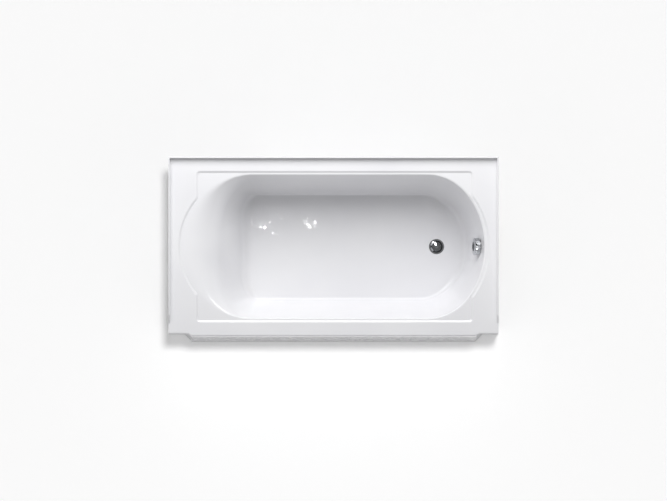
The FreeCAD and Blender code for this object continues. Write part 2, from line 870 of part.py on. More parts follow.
def fitting_ends():
    """The slip joints: the end of each fitting, the way it faces, and its bore."""
    corner = pipe_corner()
    return [
        (corner - X * tee_leg, -X, fit_radius),
        (Vector(corner.x, corner.y, tee_top_height()), Z, fit_radius),
        (Vector(corner.x, corner.y, tee_foot_height), -Z, outlet_radius),
        (elbow_foot(), -Z, fit_radius),
    ]


def slip_washers():
    """Rubber washers squeezed between each fitting and its nut."""
    return [sleeve(fitting_radius, bore, washer_thickness, end, axis)
            for end, axis, bore in fitting_ends()]


def slip_nut(bore):
    """An octagonal slip nut along Z, with a lip that closes on its washer."""
    length = nut_skirt + washer_thickness + nut_lip
    corner = nut_radius / math.cos(math.pi / nut_flat_count)
    foot = Z * -nut_skirt
    outline = []
    for i in range(nut_flat_count):
        angle = 2 * math.pi * (i + 0.5) / nut_flat_count
        outline.append(Vector(math.cos(angle), math.sin(angle), 0) * corner + foot)
    nut = prism(outline, length)
    nut = nut.cut(rod(fitting_radius + nut_clearance, nut_skirt + washer_thickness, foot))
    return nut.cut(rod(bore + nut_clearance, length, foot))


def slip_nuts():
    """The nuts of the four slip joints."""
    return [placed(slip_nut(bore), end, Rotation(Z, axis))
            for end, axis, bore in fitting_ends()]


# ---------------------------------------------------------------- overflow

def overflow_elbow():
    """Cup behind the wall, with its flange, its outlet down and the cable's port."""
    flange = rod(elbow_flange_radius, elbow_flange_thickness, Vector(0, 0, 0))
    cup = rod(cup_radius, cup_depth, Vector(0, 0, 0))
    foot = elbow_foot()
    middle = overflow_point(cup_middle)
    port = cable_port_axis()
    body = fused([
        at_overflow(flange, elbow_face),
        at_overflow(cup, elbow_face),
        rod(fitting_radius, elbow_drop, foot),
        rod(port_radius, cup_radius + port_reach, middle, port),
    ])
    hollow = rod(cup_radius - cup_wall, cup_depth - cup_wall, Vector(0, 0, 0))
    body = body.cut(at_overflow(hollow, elbow_face))
    body = body.cut(at_overflow(rod(elbow_flange_radius, elbow_face, Vector(0, 0, 0)), 0))
    body = body.cut(rod(waterway_radius, elbow_drop, foot))
    body = body.cut(rod(fit_radius, socket_depth, foot))
    body = body.cut(rod(sheath_bore, cup_radius + port_reach, middle, port))
    body = body.cut(rod(ferrule_radius + running_clearance, ferrule_socket,
                        middle + port * (cup_radius + port_reach - ferrule_socket), port))
    for side in (-1, 1):
        hole = rod(screw_radius + running_clearance, elbow_flange_thickness,
                   Vector(0, side * screw_pitch_radius, 0))
        body = body.cut(at_overflow(hole, elbow_face))
    return body


def overflow_gasket():
    """Thick rubber ring between the casting's boss and the elbow's flange."""
    ring = sleeve(elbow_flange_radius, overflow_hole_radius, overflow_gasket_thickness,
                  Vector(0, 0, 0))
    return at_overflow(ring, elbow_face - overflow_gasket_thickness)


def overflow_retainer():
    """Plate inside the basin: it clamps the elbow and carries the handle's spindle."""
    ring = sleeve(retainer_radius, retainer_radius - retainer_ring_width,
                  retainer_thickness, Vector(0, 0, 0))
    reach = retainer_radius - retainer_ring_width + overshoot
    arm = block(0, reach, -retainer_arm_width / 2, retainer_arm_width / 2,
                0, retainer_thickness)
    hub = rod(retainer_hub_radius, retainer_hub_length, Vector(0, 0, 0))
    body = fused([ring, hub] + around(arm, retainer_arm_count, retainer_first_arm))
    body = body.cut(rod(spindle_radius + running_clearance, retainer_hub_length,
                        Vector(0, 0, 0)))
    for side in (-1, 1):
        body = body.cut(rod(screw_radius + nut_clearance, retainer_thickness,
                            Vector(0, side * screw_pitch_radius, 0)))
    return at_overflow(body, -retainer_lift - retainer_thickness)


def retainer_screws():
    """Two slotted screws through the plate into the elbow's flange."""
    shank = retainer_thickness + retainer_lift + elbow_face + elbow_flange_thickness
    screws = []
    for side in (-1, 1):
        center = Vector(0, side * screw_pitch_radius, 0)
        head = rod(screw_head_radius, screw_head_height, center - Z * screw_head_height)
        slot = block(-screw_head_radius, screw_head_radius, center.y - screw_slot_width / 2,
                     center.y + screw_slot_width / 2,
                     -screw_head_height, -screw_head_height / 2)
        screw = fused([head.cut(slot), rod(screw_radius, shank, center)])
        screws.append(at_overflow(screw, -retainer_lift - retainer_thickness))
    return screws


# ---------------------------------------------------------------- handle

def retainer_face():
    """How far the plate's face stands in from the basin wall."""
    return retainer_lift + retainer_thickness


def overflow_handle():
    """Round knob with a crowned face and a scalloped edge, hollow behind."""
    front = handle_depth - handle_crown
    inside = handle_depth - handle_crown - handle_wall
    body = turned([
        (0, 0),
        (handle_radius, 0),
        (handle_radius, front - handle_edge_chamfer),
        (handle_radius - handle_edge_chamfer, front),
        (handle_face_radius, handle_depth),
        (0, handle_depth),
    ])
    grip = rod(handle_grip_radius, handle_depth + 2 * overshoot,
               Vector(handle_radius + handle_grip_radius - handle_grip_bite, 0, -overshoot))
    body = body.cut(around(grip, handle_grip_count))
    body = body.cut(rod(handle_radius - handle_wall, inside, Vector(0, 0, 0)))
    hub_foot = retainer_face() + contact_gap - handle_gap
    body = body.fuse(rod(handle_hub_radius, inside - hub_foot + overshoot,
                         Vector(0, 0, hub_foot)))
    body = body.cut(rod(spindle_radius + running_clearance / 2, spindle_engagement,
                        Vector(0, 0, hub_foot)))
    screw_height = hub_foot + spindle_engagement / 2
    access = rod(set_screw_radius + running_clearance, handle_radius + overshoot,
                 Vector(0, 0, screw_height), X)
    return into_basin(body.cut(access), -handle_gap)


def handle_spindle():
    """Brass spindle through the plate's hub, from the knob to the crank."""
    hub_foot = retainer_face() + contact_gap
    length = hub_foot + spindle_engagement + crank_face() + crank_thickness
    bar = rod(spindle_radius, length, Vector(0, 0, 0))
    return at_overflow(bar, -hub_foot - spindle_engagement)


def crank_face():
    """How far out behind the basin wall the crank's near face lies."""
    return cup_middle - crank_thickness - crank_web - eye_thickness / 2 - contact_gap


def cable_crank():
    """Disc on the spindle's end, with the pin that works the cable."""
    disc = rod(crank_radius, crank_thickness, Vector(0, 0, 0))
    disc = disc.cut(rod(spindle_radius + running_clearance / 2, crank_thickness,
                        Vector(0, 0, 0)))
    web = rod(crank_radius, crank_web, Vector(0, 0, crank_thickness))
    pin = rod(crank_pin_radius, crank_pin_length,
              crank_pin_offset() + Z * crank_thickness)
    return at_overflow(fused([disc, web, pin]), crank_face())


def crank_pin_offset():
    """Where the crank's pin stands off the spindle's axis, with the stopper closed."""
    angle = math.radians(crank_middle + handle_turn / 2)
    return Vector(math.sin(angle), -math.cos(angle), 0) * crank_pitch


def cable_eye():
    """Eye on the cable's upper end, round the crank's pin."""
    base = crank_pin_offset() + Z * (crank_thickness + crank_web + contact_gap)
    ring = sleeve(eye_radius, crank_pin_radius + running_clearance, eye_thickness, base)
    return at_overflow(ring, crank_face())


def spindle_snap_ring():
    """Ring that holds the spindle in the plate's hub."""
    out = retainer_hub_length - retainer_face() + contact_gap
    ring = sleeve(snap_ring_radius, spindle_radius + running_clearance / 2,
                  snap_ring_thickness, Vector(0, 0, 0))
    return at_overflow(ring, out)


def handle_set_screw():
    """Screw in the knob's hub that grips the spindle."""
    hub_foot = retainer_face() + contact_gap
    height = hub_foot + spindle_engagement / 2
    bar = rod(set_screw_radius, set_screw_length,
              Vector(spindle_radius + running_clearance, 0, 0), X)
    return into_basin(bar, -height)


# ---------------------------------------------------------------- cable

def cable_port_axis():
    """The way the cable leaves the elbow: down and towards the apron."""
    return (overflow_down() - Y).normalize()


def bent_bar(points, bend_radius, radius):
    """A round bar of straight runs joined by tangent bends."""
    pieces = []
    start = points[0]
    for i in range(1, len(points) - 1):
        before = (points[i - 1] - points[i]).normalize()
        after = (points[i + 1] - points[i]).normalize()
        half_angle = before.getAngle(after) / 2
        bend_start = points[i] + before * (bend_radius / math.tan(half_angle))
        bend_end = points[i] + after * (bend_radius / math.tan(half_angle))
        center = points[i] + (before + after).normalize() * (bend_radius / math.sin(half_angle))
        pieces.append(rod(radius, (bend_start - start).Length, start, before * -1))
        ring = Part.Wire([Part.Circle(bend_start, before * -1, radius).toShape()])
        turn = 180 - 2 * math.degrees(half_angle)
        hinge = before.cross(after).normalize() * -1
        pieces.append(Part.Face(ring).revolve(center, hinge, turn))
        start = bend_end
    run = points[-1] - start
    pieces.append(rod(radius, run.Length, start, run))
    return fused(pieces)


def sheath_points():
    """Corners of the sheath's route, from the overflow's port to the shoe's."""
    port = cable_port_axis()
    upper = overflow_point(cup_middle)
    first = upper + port * (cup_radius + port_reach - ferrule_socket + ferrule_length)
    side_step = sheath_stand_off / -port.y
    turn_down = upper + port * side_step
    lower = drain_axis + Z * pipe_axis_height
    last = lower - Y * (shoe_radius + port_reach - ferrule_socket + ferrule_length)
    return [
        first,
        turn_down,
        Vector(turn_down.x, basin_center_y - sheath_stand_off, pipe_axis_height),
        Vector(drain_x, basin_center_y - sheath_loop, pipe_axis_height),
        last,
    ]


def cable_sheath():
    """Outer sheath of the cable, clipped along the pipes."""
    return bent_bar(sheath_points(), sheath_bend_radius, sheath_radius)


def cable_inner():
    """The steel cable's two bare ends, from the ferrules to the eye and to the push rod."""
    points = sheath_points()
    upper = points[0]
    upper_end = overflow_point(cup_middle) + cable_port_axis() * (eye_radius + crank_pitch)
    lower = points[-1]
    push_end = drain_axis + Z * pipe_axis_height - Y * (plunger_face() + plunger_length)
    ends = []
    for start, end in ((upper, upper_end), (lower, push_end)):
        run = end - start
        ends.append(rod(cable_radius, run.Length, start, run))
    return ends


def sheath_ferrules():
    """End fittings that plug the sheath into the two ports."""
    ferrules = []
    points = sheath_points()
    for end, inward in ((points[0], points[1]), (points[-1], points[-2])):
        axis = (end - inward).normalize()
        base = end - axis * ferrule_grip
        body = sleeve(ferrule_radius, sheath_bore, ferrule_length + ferrule_grip, base, axis)
        cup = rod(sheath_radius + running_clearance, ferrule_grip, base, axis)
        ferrules.append(body.cut(cup))
    return ferrules


def cable_clip(distance):
    """Clip in its own frame: a band round a pipe along Z, with an eye at a distance on X."""
    base = Vector(0, 0, -clip_width / 2)
    eye = Vector(distance, 0, -clip_width / 2)
    band_bore = tube_radius + running_clearance
    eye_bore = sheath_radius + running_clearance
    body = fused([
        rod(band_bore + clip_band, clip_width, base),
        rod(eye_bore + clip_band, clip_width, eye),
        block(0, distance, -clip_web / 2, clip_web / 2, -clip_width / 2, clip_width / 2),
    ])
    return body.cut(rod(band_bore, clip_width, base)).cut(rod(eye_bore, clip_width, eye))


def cable_clips():
    """Two clips that hold the sheath to the overflow tube."""
    corner = pipe_corner()
    run_x = sheath_points()[1].x
    offset = Vector(run_x - corner.x, -sheath_stand_off, 0)
    upright = cable_clip(offset.Length)
    turn = Rotation(offset, Z.cross(offset), Z, "ZXY")
    low = tee_top_height() + socket_depth
    high = elbow_foot().z - socket_depth
    span = high - low
    return [placed(upright, Vector(corner.x, corner.y, low + span * share), turn)
            for share in clip_shares]


# ---------------------------------------------------------------- the whole

def group(solids):
    """Several separate solids as one sub-part."""
    return Part.makeCompound(solids)


def main():
    os.makedirs("parts", exist_ok=True)
    export("tub_casting", tub_casting())
    export("drain_body", drain_body())
    export("drain_gasket", drain_gasket())
    export("drain_shoe", drain_shoe())
    export("stopper_cap", stopper_cap())
    export("stopper_seal", stopper_seal())
    export("stopper_stem", stopper_stem())
    export("lift_lever", lift_lever())
    export("lever_pin", lever_pin())
    export("cable_plunger", cable_plunger())
    export("waste_tube", waste_tube())
    export("waste_tee", waste_tee())
    export("overflow_tube", overflow_tube())
    export("overflow_elbow", overflow_elbow())
    export("slip_nuts", group(slip_nuts()))
    export("slip_washers", group(slip_washers()))
    export("overflow_gasket", overflow_gasket())
    export("overflow_retainer", overflow_retainer())
    export("retainer_screws", group(retainer_screws()))
    export("overflow_handle", overflow_handle())
    export("handle_spindle", handle_spindle())
    export("handle_set_screw", handle_set_screw())
    export("spindle_snap_ring", spindle_snap_ring())
    export("cable_crank", cable_crank())
    export("cable_eye", cable_eye())
    export("cable_sheath", cable_sheath())
    export("cable_inner", group(cable_inner()))
    export("sheath_ferrules", group(sheath_ferrules()))
    export("cable_clips", group(cable_clips()))


if __name__ == "__main__":
    main()
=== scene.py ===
import json
import math

import bmesh
import bpy
from mathutils import Matrix, Vector


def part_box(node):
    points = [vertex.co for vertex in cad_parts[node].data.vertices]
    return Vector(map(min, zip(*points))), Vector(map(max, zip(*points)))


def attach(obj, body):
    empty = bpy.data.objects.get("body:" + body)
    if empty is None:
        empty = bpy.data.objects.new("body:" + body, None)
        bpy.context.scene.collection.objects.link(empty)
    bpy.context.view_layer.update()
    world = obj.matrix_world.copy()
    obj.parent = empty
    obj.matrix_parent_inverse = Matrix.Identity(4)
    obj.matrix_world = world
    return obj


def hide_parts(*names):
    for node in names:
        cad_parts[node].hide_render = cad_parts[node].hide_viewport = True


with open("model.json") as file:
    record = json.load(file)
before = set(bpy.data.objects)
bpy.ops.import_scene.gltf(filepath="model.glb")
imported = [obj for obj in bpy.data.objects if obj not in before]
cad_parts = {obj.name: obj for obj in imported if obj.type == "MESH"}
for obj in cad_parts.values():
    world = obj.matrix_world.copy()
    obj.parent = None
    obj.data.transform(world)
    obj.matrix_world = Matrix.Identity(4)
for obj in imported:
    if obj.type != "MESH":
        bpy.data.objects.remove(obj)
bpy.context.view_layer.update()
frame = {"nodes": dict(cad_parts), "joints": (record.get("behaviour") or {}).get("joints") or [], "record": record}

bl_info = {
    "name": "Alcove Bath",
    "version": (1, 0, 0),
    "blender": (4, 5, 0),
    "location": "View3D > Sidebar > Alcove Bath",
    "description": "Dresses the packed alcove bath: enamel, chrome, brass, rubber and a studio",
    "category": "Object",
}

# Metres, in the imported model's own frame: +X is the drain end, +Y the back wall, +Z up.
MM = 0.001
CASTING_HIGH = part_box("tub_casting")[1]
HANDLE_TURN = next(joint for joint in frame["joints"] if joint["name"] == "handle_turn")
OVERFLOW_POINT = Vector(HANDLE_TURN["pos_m"])
INTO_BASIN = Vector(HANDLE_TURN["axis"]).normalized()
DRAIN_LOW, DRAIN_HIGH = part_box("drain_gasket")
DRAIN_MIDDLE = (DRAIN_LOW + DRAIN_HIGH) / 2
FLANGE_RISE = 25 * MM
RIM_HEIGHT = CASTING_HIGH.z - FLANGE_RISE
HALF_LENGTH = CASTING_HIGH.x
BACK_Y = CASTING_HIGH.y
QUARTER_TURN = math.pi / 2


# ---------------------------------------------------------------- property helpers

def length(name, default, description):
    """A length that a user may change, in metres."""
    return bpy.props.FloatProperty(name=name, description=description, default=default,
                                   unit="LENGTH", precision=4)


def amount(name, default, description, **kind):
    """A number from zero up that a user may change."""
    return bpy.props.FloatProperty(name=name, description=description, default=default,
                                   min=0, **kind)


def colour(name, code, description):
    """A colour that a user may change, given as sRGB hex."""
    return bpy.props.FloatVectorProperty(name=name, description=description, subtype="COLOR",
                                         size=3, min=0, max=1, default=linear(code))


def linear(code):
    """Turns an sRGB hex colour into linear red, green and blue."""
    values = [int(code[i:i + 2], 16) / 255 for i in (1, 3, 5)]
    return tuple(v / 12.92 if v <= 0.04045 else ((v + 0.055) / 1.055) ** 2.4 for v in values)


# ---------------------------------------------------------------- what a user may change

class CastingSizes(bpy.types.PropertyGroup):
    """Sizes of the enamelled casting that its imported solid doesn't state."""

    rim_thickness: length("Rim thickness", 7 * MM, "Thickness of the rim plate")
    wall: length("Wall", 6.5 * MM, "Thickness of the basin and the apron")
    flange_thickness: length("Flange thickness", 6 * MM, "Thickness of the tile flange")
    flange_foot: length("Flange foot", 4 * MM, "Radius at the foot of the tile flange")
    flange_edge: length("Flange edge", 2 * MM, "Radius along the top of the tile flange")
    flange_end: length("Flange end", -302 * MM, "Where the side flanges start to fall away")
    flange_run_out: length("Flange run-out", 38 * MM, "Length over which they fall away")
    frame_drop: length("Frame drop", 6 * MM, "Depth of the recessed frame")
    frame_slope: length("Frame slope", 9 * MM, "Width of the recessed frame's sloping step")
    basin_y: length("Basin middle", 14 * MM, "Middle of the basin, towards the back")
    basin_floor: length("Basin floor", 90 * MM, "Height of the floor at the waste")
    floor_fall: length("Floor fall", 5 * MM, "Rise of the floor away from the waste")
    side_lip: length("Side lip", 6 * MM, "Radius that rolls into the basin's sides")
    left_lip: length("Backrest lip", 190 * MM, "Radius that rolls into the backrest")
    right_lip: length("Drain end lip", 10 * MM, "Radius that rolls into the drain end")
    side_cove: length("Side cove", 12 * MM, "Radius between the floor and the sides")
    left_cove: length("Backrest cove", 58 * MM, "Radius between the floor and the backrest")
    right_cove: length("Drain end cove", 45 * MM, "Radius between the floor and that end")
    apron_top: length("Apron top", 7 * MM, "Radius along the top of the apron")
    apron_foot: length("Apron foot", 5 * MM, "Radius along the foot of the apron")
    station: length("Station spacing", 12 * MM, "Distance between the mesh's stations")


class FinishColours(bpy.types.PropertyGroup):
    """Colours of the finishes."""

    enamel: colour("Enamel", "#E9E9EB", "Gloss white vitreous enamel")
    enamel_shade: colour("Enamel shade", "#E4E4E7", "Slightly greyer patches in the enamel")
    chrome: colour("Chrome", "#C6C8CB", "Polished chrome plate")
    brass: colour("Brass", "#C2A566", "Bare brass")
    brass_tarnish: colour("Brass tarnish", "#8C7040", "Darker patches on bare brass")
    rubber: colour("Rubber", "#1A1A1B", "Black rubber")
    rubber_bloom: colour("Rubber bloom", "#3A3A3C", "Dusty patches on the rubber")
    nylon: colour("Nylon", "#202123", "Black moulded nylon")
    steel: colour("Steel", "#B4B6B9", "Stainless steel")


class StudioSettings(bpy.types.PropertyGroup):
    """Floor, light and camera."""

    floor: colour("Floor", "#F4F4F4", "Pale studio floor")
    floor_glow: amount("Floor glow", 0.165, "Even light that the camera sees on the floor")
    picture_width: length("Picture width", 3.078, "Width that the camera takes in at the rim")
    camera_height: length("Camera height", 80.0, "Height of the camera above the rim")
    key_power: amount("Key light", 161.0, "Power of the soft lamp at the back", unit="POWER")
    floor_sun: amount("Floor light", 1.70, "Strength of the high light that only the floor takes")
    sky: amount("Sky", 0.285, "Strength of the light from the white room")


# ---------------------------------------------------------------- materials

def add_node(tree, kind, settings=None, inputs=None):
    """Adds a shader node. An input is a value, or an output socket to link."""
    made = tree.nodes.new(kind)
    for name, value in (settings or {}).items():
        setattr(made, name, value)
    for name, value in (inputs or {}).items():
        if isinstance(value, bpy.types.NodeSocket):
            tree.links.new(value, made.inputs[name])
        else:
            made.inputs[name].default_value = value
    return made


def new_material(name):
    """An empty node material and its tree."""
    material = bpy.data.materials.new(name)
    material.use_nodes = True
    material.node_tree.nodes.clear()
    return material, material.node_tree


def new_finish(name):
    """A new material, its tree, and the piece's own coordinates, which move with it."""
    material, tree = new_material(name)
    return material, tree, add_node(tree, "ShaderNodeTexCoord").outputs["Object"]


# noise seldom leaves this span, so what is spread over it uses all of its range
NOISE_LOW = 0.3
NOISE_HIGH = 0.7


def per_metre(size):
    """Noise scale for features of a real size in metres."""
    return 1 / size


def patches(tree, place, size, low, high, detail=2.0):
    """A value that wanders between two numbers, in patches of a real size in metres."""
    pattern = add_node(tree, "ShaderNodeTexNoise", inputs={
        "Vector": place, "Scale": per_metre(size), "Detail": detail,
    }).outputs["Fac"]
    return add_node(tree, "ShaderNodeMapRange", inputs={
        "Value": pattern, "From Min": NOISE_LOW, "From Max": NOISE_HIGH,
        "To Min": low, "To Max": high,
    }).outputs["Result"]


def blotched(tree, place, first, second, size, share=1.0, detail=2.0):
    """One colour with patches of another, which show up to a share of it."""
    return add_node(tree, "ShaderNodeMixRGB", inputs={
        "Fac": patches(tree, place, size, 0.0, share, detail),
        "Color1": (*first, 1), "Color2": (*second, 1),
    }).outputs["Color"]


def relief(tree, place, size, height, detail=2.0):
    """The bump node for features of a real size and height in metres."""
    pattern = add_node(tree, "ShaderNodeTexNoise", inputs={
        "Vector": place, "Scale": per_metre(size), "Detail": detail,
    }).outputs["Fac"]
    return add_node(tree, "ShaderNodeBump", inputs={
        "Height": pattern, "Strength": 1.0, "Distance": height,
    })


def finish_with(tree, inputs):
    """Ends a material in one surface shader."""
    shader = add_node(tree, "ShaderNodeBsdfPrincipled", inputs=inputs)
    add_node(tree, "ShaderNodeOutputMaterial", inputs={"Surface": shader.outputs["BSDF"]})


# where the enamel sagged into ripples as it was fired: the middle of that patch, how far it
# reaches each way, the share of the way out at which it starts to fade, and the ripples' size
SAG_MIDDLE = (-195 * MM, 118 * MM, 92 * MM)
SAG_REACH = (190 * MM, 95 * MM, 60 * MM)
SAG_FADE = 0.6
SAG_RIPPLE = 27 * MM
SAG_HEIGHT = 0.36 * MM


def sagged_ripples(tree, place):
    """The height of the ripples, which only the sagged patch has."""
    from_middle = add_node(tree, "ShaderNodeVectorMath", {"operation": "SUBTRACT"},
                           {0: place, 1: SAG_MIDDLE}).outputs["Vector"]
    shrunk = add_node(tree, "ShaderNodeVectorMath", {"operation": "DIVIDE"},
                      {0: from_middle, 1: SAG_REACH}).outputs["Vector"]
    away = add_node(tree, "ShaderNodeVectorMath", {"operation": "LENGTH"},
                    {0: shrunk}).outputs["Value"]
    share = add_node(tree, "ShaderNodeMapRange", inputs={
        "Value": away, "From Min": SAG_FADE, "From Max": 1.0, "To Min": 1.0, "To Max": 0.0,
    }).outputs["Result"]
    pattern = add_node(tree, "ShaderNodeTexNoise", inputs={
        "Vector": place, "Scale": per_metre(SAG_RIPPLE), "Detail": 0.0,
    }).outputs["Fac"]
    return add_node(tree, "ShaderNodeMath", {"operation": "MULTIPLY"},
                    {0: pattern, 1: share}).outputs[0]


def vitreous_enamel(colours):
    """White glass fired on cast iron: a hard gloss over a faint orange-peel swell."""
    material, tree, place = new_finish("white vitreous enamel, fired gloss")
    swell = relief(tree, place, 42 * MM, 0.16 * MM, detail=0.0)
    peel = relief(tree, place, 12 * MM, 0.02 * MM, detail=0.0)
    tree.links.new(swell.outputs["Normal"], peel.inputs["Normal"])
    ripples = add_node(tree, "ShaderNodeBump", inputs={
        "Height": sagged_ripples(tree, place), "Strength": 1.0, "Distance": SAG_HEIGHT,
        "Normal": peel.outputs["Normal"],
    })
    finish_with(tree, {
        "Base Color": blotched(tree, place, colours.enamel, colours.enamel_shade, 320 * MM),
        "Roughness": patches(tree, place, 60 * MM, 0.03, 0.05),
        "IOR": 1.52,
        "Normal": ripples.outputs["Normal"],
    })
    return material


def chrome_plate(colours):
    """Polished chrome on brass: a mirror with faint polishing haze and water marks."""
    material, tree, place = new_finish("chrome plate, polished")
    finish_with(tree, {
        "Base Color": (*colours.chrome, 1),
        "Metallic": 1.0,
        "Roughness": patches(tree, place, 6 * MM, 0.04, 0.10, detail=3.0),
        "Normal": relief(tree, place, 14 * MM, 0.02 * MM, detail=1.0).outputs["Normal"],
    })
    return material


def bare_brass(colours):
    """Drawn and cast brass, unplated: warm, half dull, with darker tarnish."""
    material, tree, place = new_finish("brass, drawn and cast, bare")
    finish_with(tree, {
        "Base Color": blotched(tree, place, colours.brass, colours.brass_tarnish, 28 * MM,
                               share=0.6, detail=4.0),
        "Metallic": 1.0,
        "Roughness": patches(tree, place, 12 * MM, 0.28, 0.46, detail=3.0),
        "Normal": relief(tree, place, 1.6 * MM, 0.03 * MM).outputs["Normal"],
    })
    return material


def black_rubber(colours):
    """Moulded rubber: dark and dull, with a fine dusty bloom."""
    material, tree, place = new_finish("rubber, moulded")
    finish_with(tree, {
        "Base Color": blotched(tree, place, colours.rubber, colours.rubber_bloom, 5 * MM,
                               share=0.35, detail=3.0),
        "Roughness": 0.72,
        "IOR": 1.52,
        "Normal": relief(tree, place, 0.9 * MM, 0.03 * MM).outputs["Normal"],
    })
    return material


def black_nylon(colours):
    """Moulded nylon: a satin black with the mould's fine spark texture."""
    material, tree, place = new_finish("nylon, moulded black")
    finish_with(tree, {
        "Base Color": (*colours.nylon, 1),
        "Roughness": patches(tree, place, 4 * MM, 0.38, 0.52),
        "IOR": 1.53,
        "Normal": relief(tree, place, 0.7 * MM, 0.02 * MM).outputs["Normal"],
    })
    return material


def stainless_steel(colours):
    """Turned stainless steel: bright, with a fine unevenness left by the lathe."""
    material, tree, place = new_finish("stainless steel, turned")
    finish_with(tree, {
        "Base Color": (*colours.steel, 1),
        "Metallic": 1.0,
        "Roughness": patches(tree, place, 1.2 * MM, 0.22, 0.34),
        "Normal": relief(tree, place, 0.6 * MM, 0.01 * MM).outputs["Normal"],
    })
    return material


# the record's material slots, each with what makes its finish
FINISHES = {
    "enamel": vitreous_enamel,
    "chrome": chrome_plate,
    "brass": bare_brass,
    "rubber": black_rubber,
    "black_plastic": black_nylon,
    "steel": stainless_steel,
}
MADE = {}


def finish_for(slot):
    """The material of one of the record's slots, made once."""
    if slot not in MADE:
        MADE[slot] = FINISHES[slot](bpy.context.scene.bath_colours)
    return MADE[slot]


# ---------------------------------------------------------------- mesh helpers

# points closer than this are one point, and an edge that turns more than this looks sharp
WELD_GAP = 0.002 * MM
SHARP_ANGLE = math.radians(32)


def lerp(a, b, share):
    """A point or number between two others."""
    return a + (b - a) * share


def rounded(points, radii, steps):
    """A chain of points with its corners turned into arcs of so many steps."""
    chain = [points[0]]
    for before, corner, after, radius in zip(points, points[1:], points[2:], radii):
        if radius <= 0:
            chain += [corner.copy() for _ in range(steps + 1)]
            continue
        to_before = (before - corner).normalized()
        to_after = (after - corner).normalized()
        half = to_before.angle(to_after) / 2
        middle = corner + (to_before + to_after).normalized() * (radius / math.sin(half))
        start = (corner + to_before * (radius / math.tan(half)) - middle).normalized()
        end = (corner + to_after * (radius / math.tan(half)) - middle).normalized()
        for i in range(steps + 1):
            chain.append(middle + start.slerp(end, i / steps) * radius)
    chain.append(points[-1])
    return chain


def placed(name, data):
    """A new object in the scene."""
    made = bpy.data.objects.new(name, data)
    bpy.context.scene.collection.objects.link(made)
    return made


def mesh_object(name, rows, body, slot, closed_rows=False):
    """A piece from rows of points, each row a closed ring, all of equal length."""
    mesh = bmesh.new()
    grid = [[mesh.verts.new(point) for point in row] for row in rows]
    count = len(grid[0])
    pairs = list(zip(grid, grid[1:]))
    if closed_rows:
        pairs.append((grid[-1], grid[0]))
    for low, high in pairs:
        for i in range(count):
            j = (i + 1) % count
            mesh.faces.new((low[i], low[j], high[j], high[i]))
    return finished_object(name, mesh, body, slot)


def finished_object(name, mesh, body, slot):
    """Cleans a bmesh, shades it, and hangs it on its body with its finish."""
    bmesh.ops.remove_doubles(mesh, verts=mesh.verts, dist=WELD_GAP)
    bmesh.ops.dissolve_degenerate(mesh, edges=mesh.edges, dist=WELD_GAP)
    bmesh.ops.recalc_face_normals(mesh, faces=mesh.faces)
    for face in mesh.faces:
        face.smooth = True
    for edge in mesh.edges:
        edge.smooth = edge.calc_face_angle(0) < SHARP_ANGLE
    data = bpy.data.meshes.new(name)
    mesh.to_mesh(data)
    mesh.free()
    made = placed(name, data)
    data.materials.append(finish_for(slot))
    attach(made, body)
    return made


# ---------------------------------------------------------------- casting: outlines in plan

# the recessed frame: a rectangle, and the ellipses that bulge past its two ends
FRAME_LEFT = -634 * MM
FRAME_RIGHT = 644 * MM
FRAME_BACK = 363 * MM
FRAME_FRONT = -335 * MM
FRAME_CORNER = 18 * MM
BULGE_HALF = 344 * MM
# the basin at its ledge and at its floor: the half widths, the two ends, where the ends' curves
# start, and the half width of the backrest's flat middle
OPEN = {"half": 331 * MM, "left": -572 * MM, "right": 698 * MM,
        "left_center": -374 * MM, "right_center": 438 * MM, "flat": 14 * MM}
FLOOR = {"half": 243 * MM, "left": -412 * MM, "right": 612 * MM,
         "left_center": -350 * MM, "right_center": 400 * MM, "flat": 140 * MM}
BULGES = ((OPEN["left_center"], -717 * MM), (OPEN["right_center"], 721 * MM))
# how often the way out to an outline is halved
HALVINGS = 36


def reach(inside, direction):
    """Distance from the basin's middle to an outline, by halving."""
    near = 0.0
    far = HALF_LENGTH
    for _ in range(HALVINGS):
        middle = (near + far) / 2
        if inside(direction.x * middle, direction.y * middle):
            near = middle
        else:
            far = middle
    return near


def ledge_height(bath):
    """Height of the recessed frame's ledge, which the basin opens from."""
    return RIM_HEIGHT - bath.frame_drop


def basin_depth(bath):
    """Depth of the basin under its ledge, at the waste."""
    return ledge_height(bath) - bath.basin_floor


def in_frame(bath, inset):
    """Test for the recessed frame: a rectangle with round corners and two bulging ends."""
    radius = FRAME_CORNER - inset

    def inside(x, y):
        bulge_half = BULGE_HALF - inset
        for center, tip in BULGES:
            semi = abs(tip - center) - inset
            if ((x - center) / semi) ** 2 + (y / bulge_half) ** 2 <= 1:
                return True
        along = min(x - FRAME_LEFT, FRAME_RIGHT - x) - inset
        across = min(y + bath.basin_y - FRAME_FRONT, FRAME_BACK - y - bath.basin_y) - inset
        if min(along, across) < 0:
            return False
        if max(along, across) > radius:
            return True
        return math.hypot(radius - along, radius - across) <= radius
    return inside


def wall_reach(drop, depth, at_top, at_floor, lip, cove):
    """How far a basin wall stands out at a drop: a slope with a lip arc and a cove arc."""
    slope = (at_top - at_floor) / depth
    angle = math.atan2(1.0, slope)
    lip_drop = lip * (1 - math.cos(angle))
    cove_rise = cove * (1 - math.cos(angle))
    if drop < lip_drop:
        center = at_top - slope * lip_drop + lip * math.sin(angle)
        return center - math.sqrt(max(lip ** 2 - (lip - drop) ** 2, 0))
    if depth - drop < cove_rise:
        below = cove - (depth - drop)
        run_out = at_floor - cove * math.tan(angle / 2)
        return run_out + math.sqrt(max(cove ** 2 - below ** 2, 0))
    return at_top - slope * drop


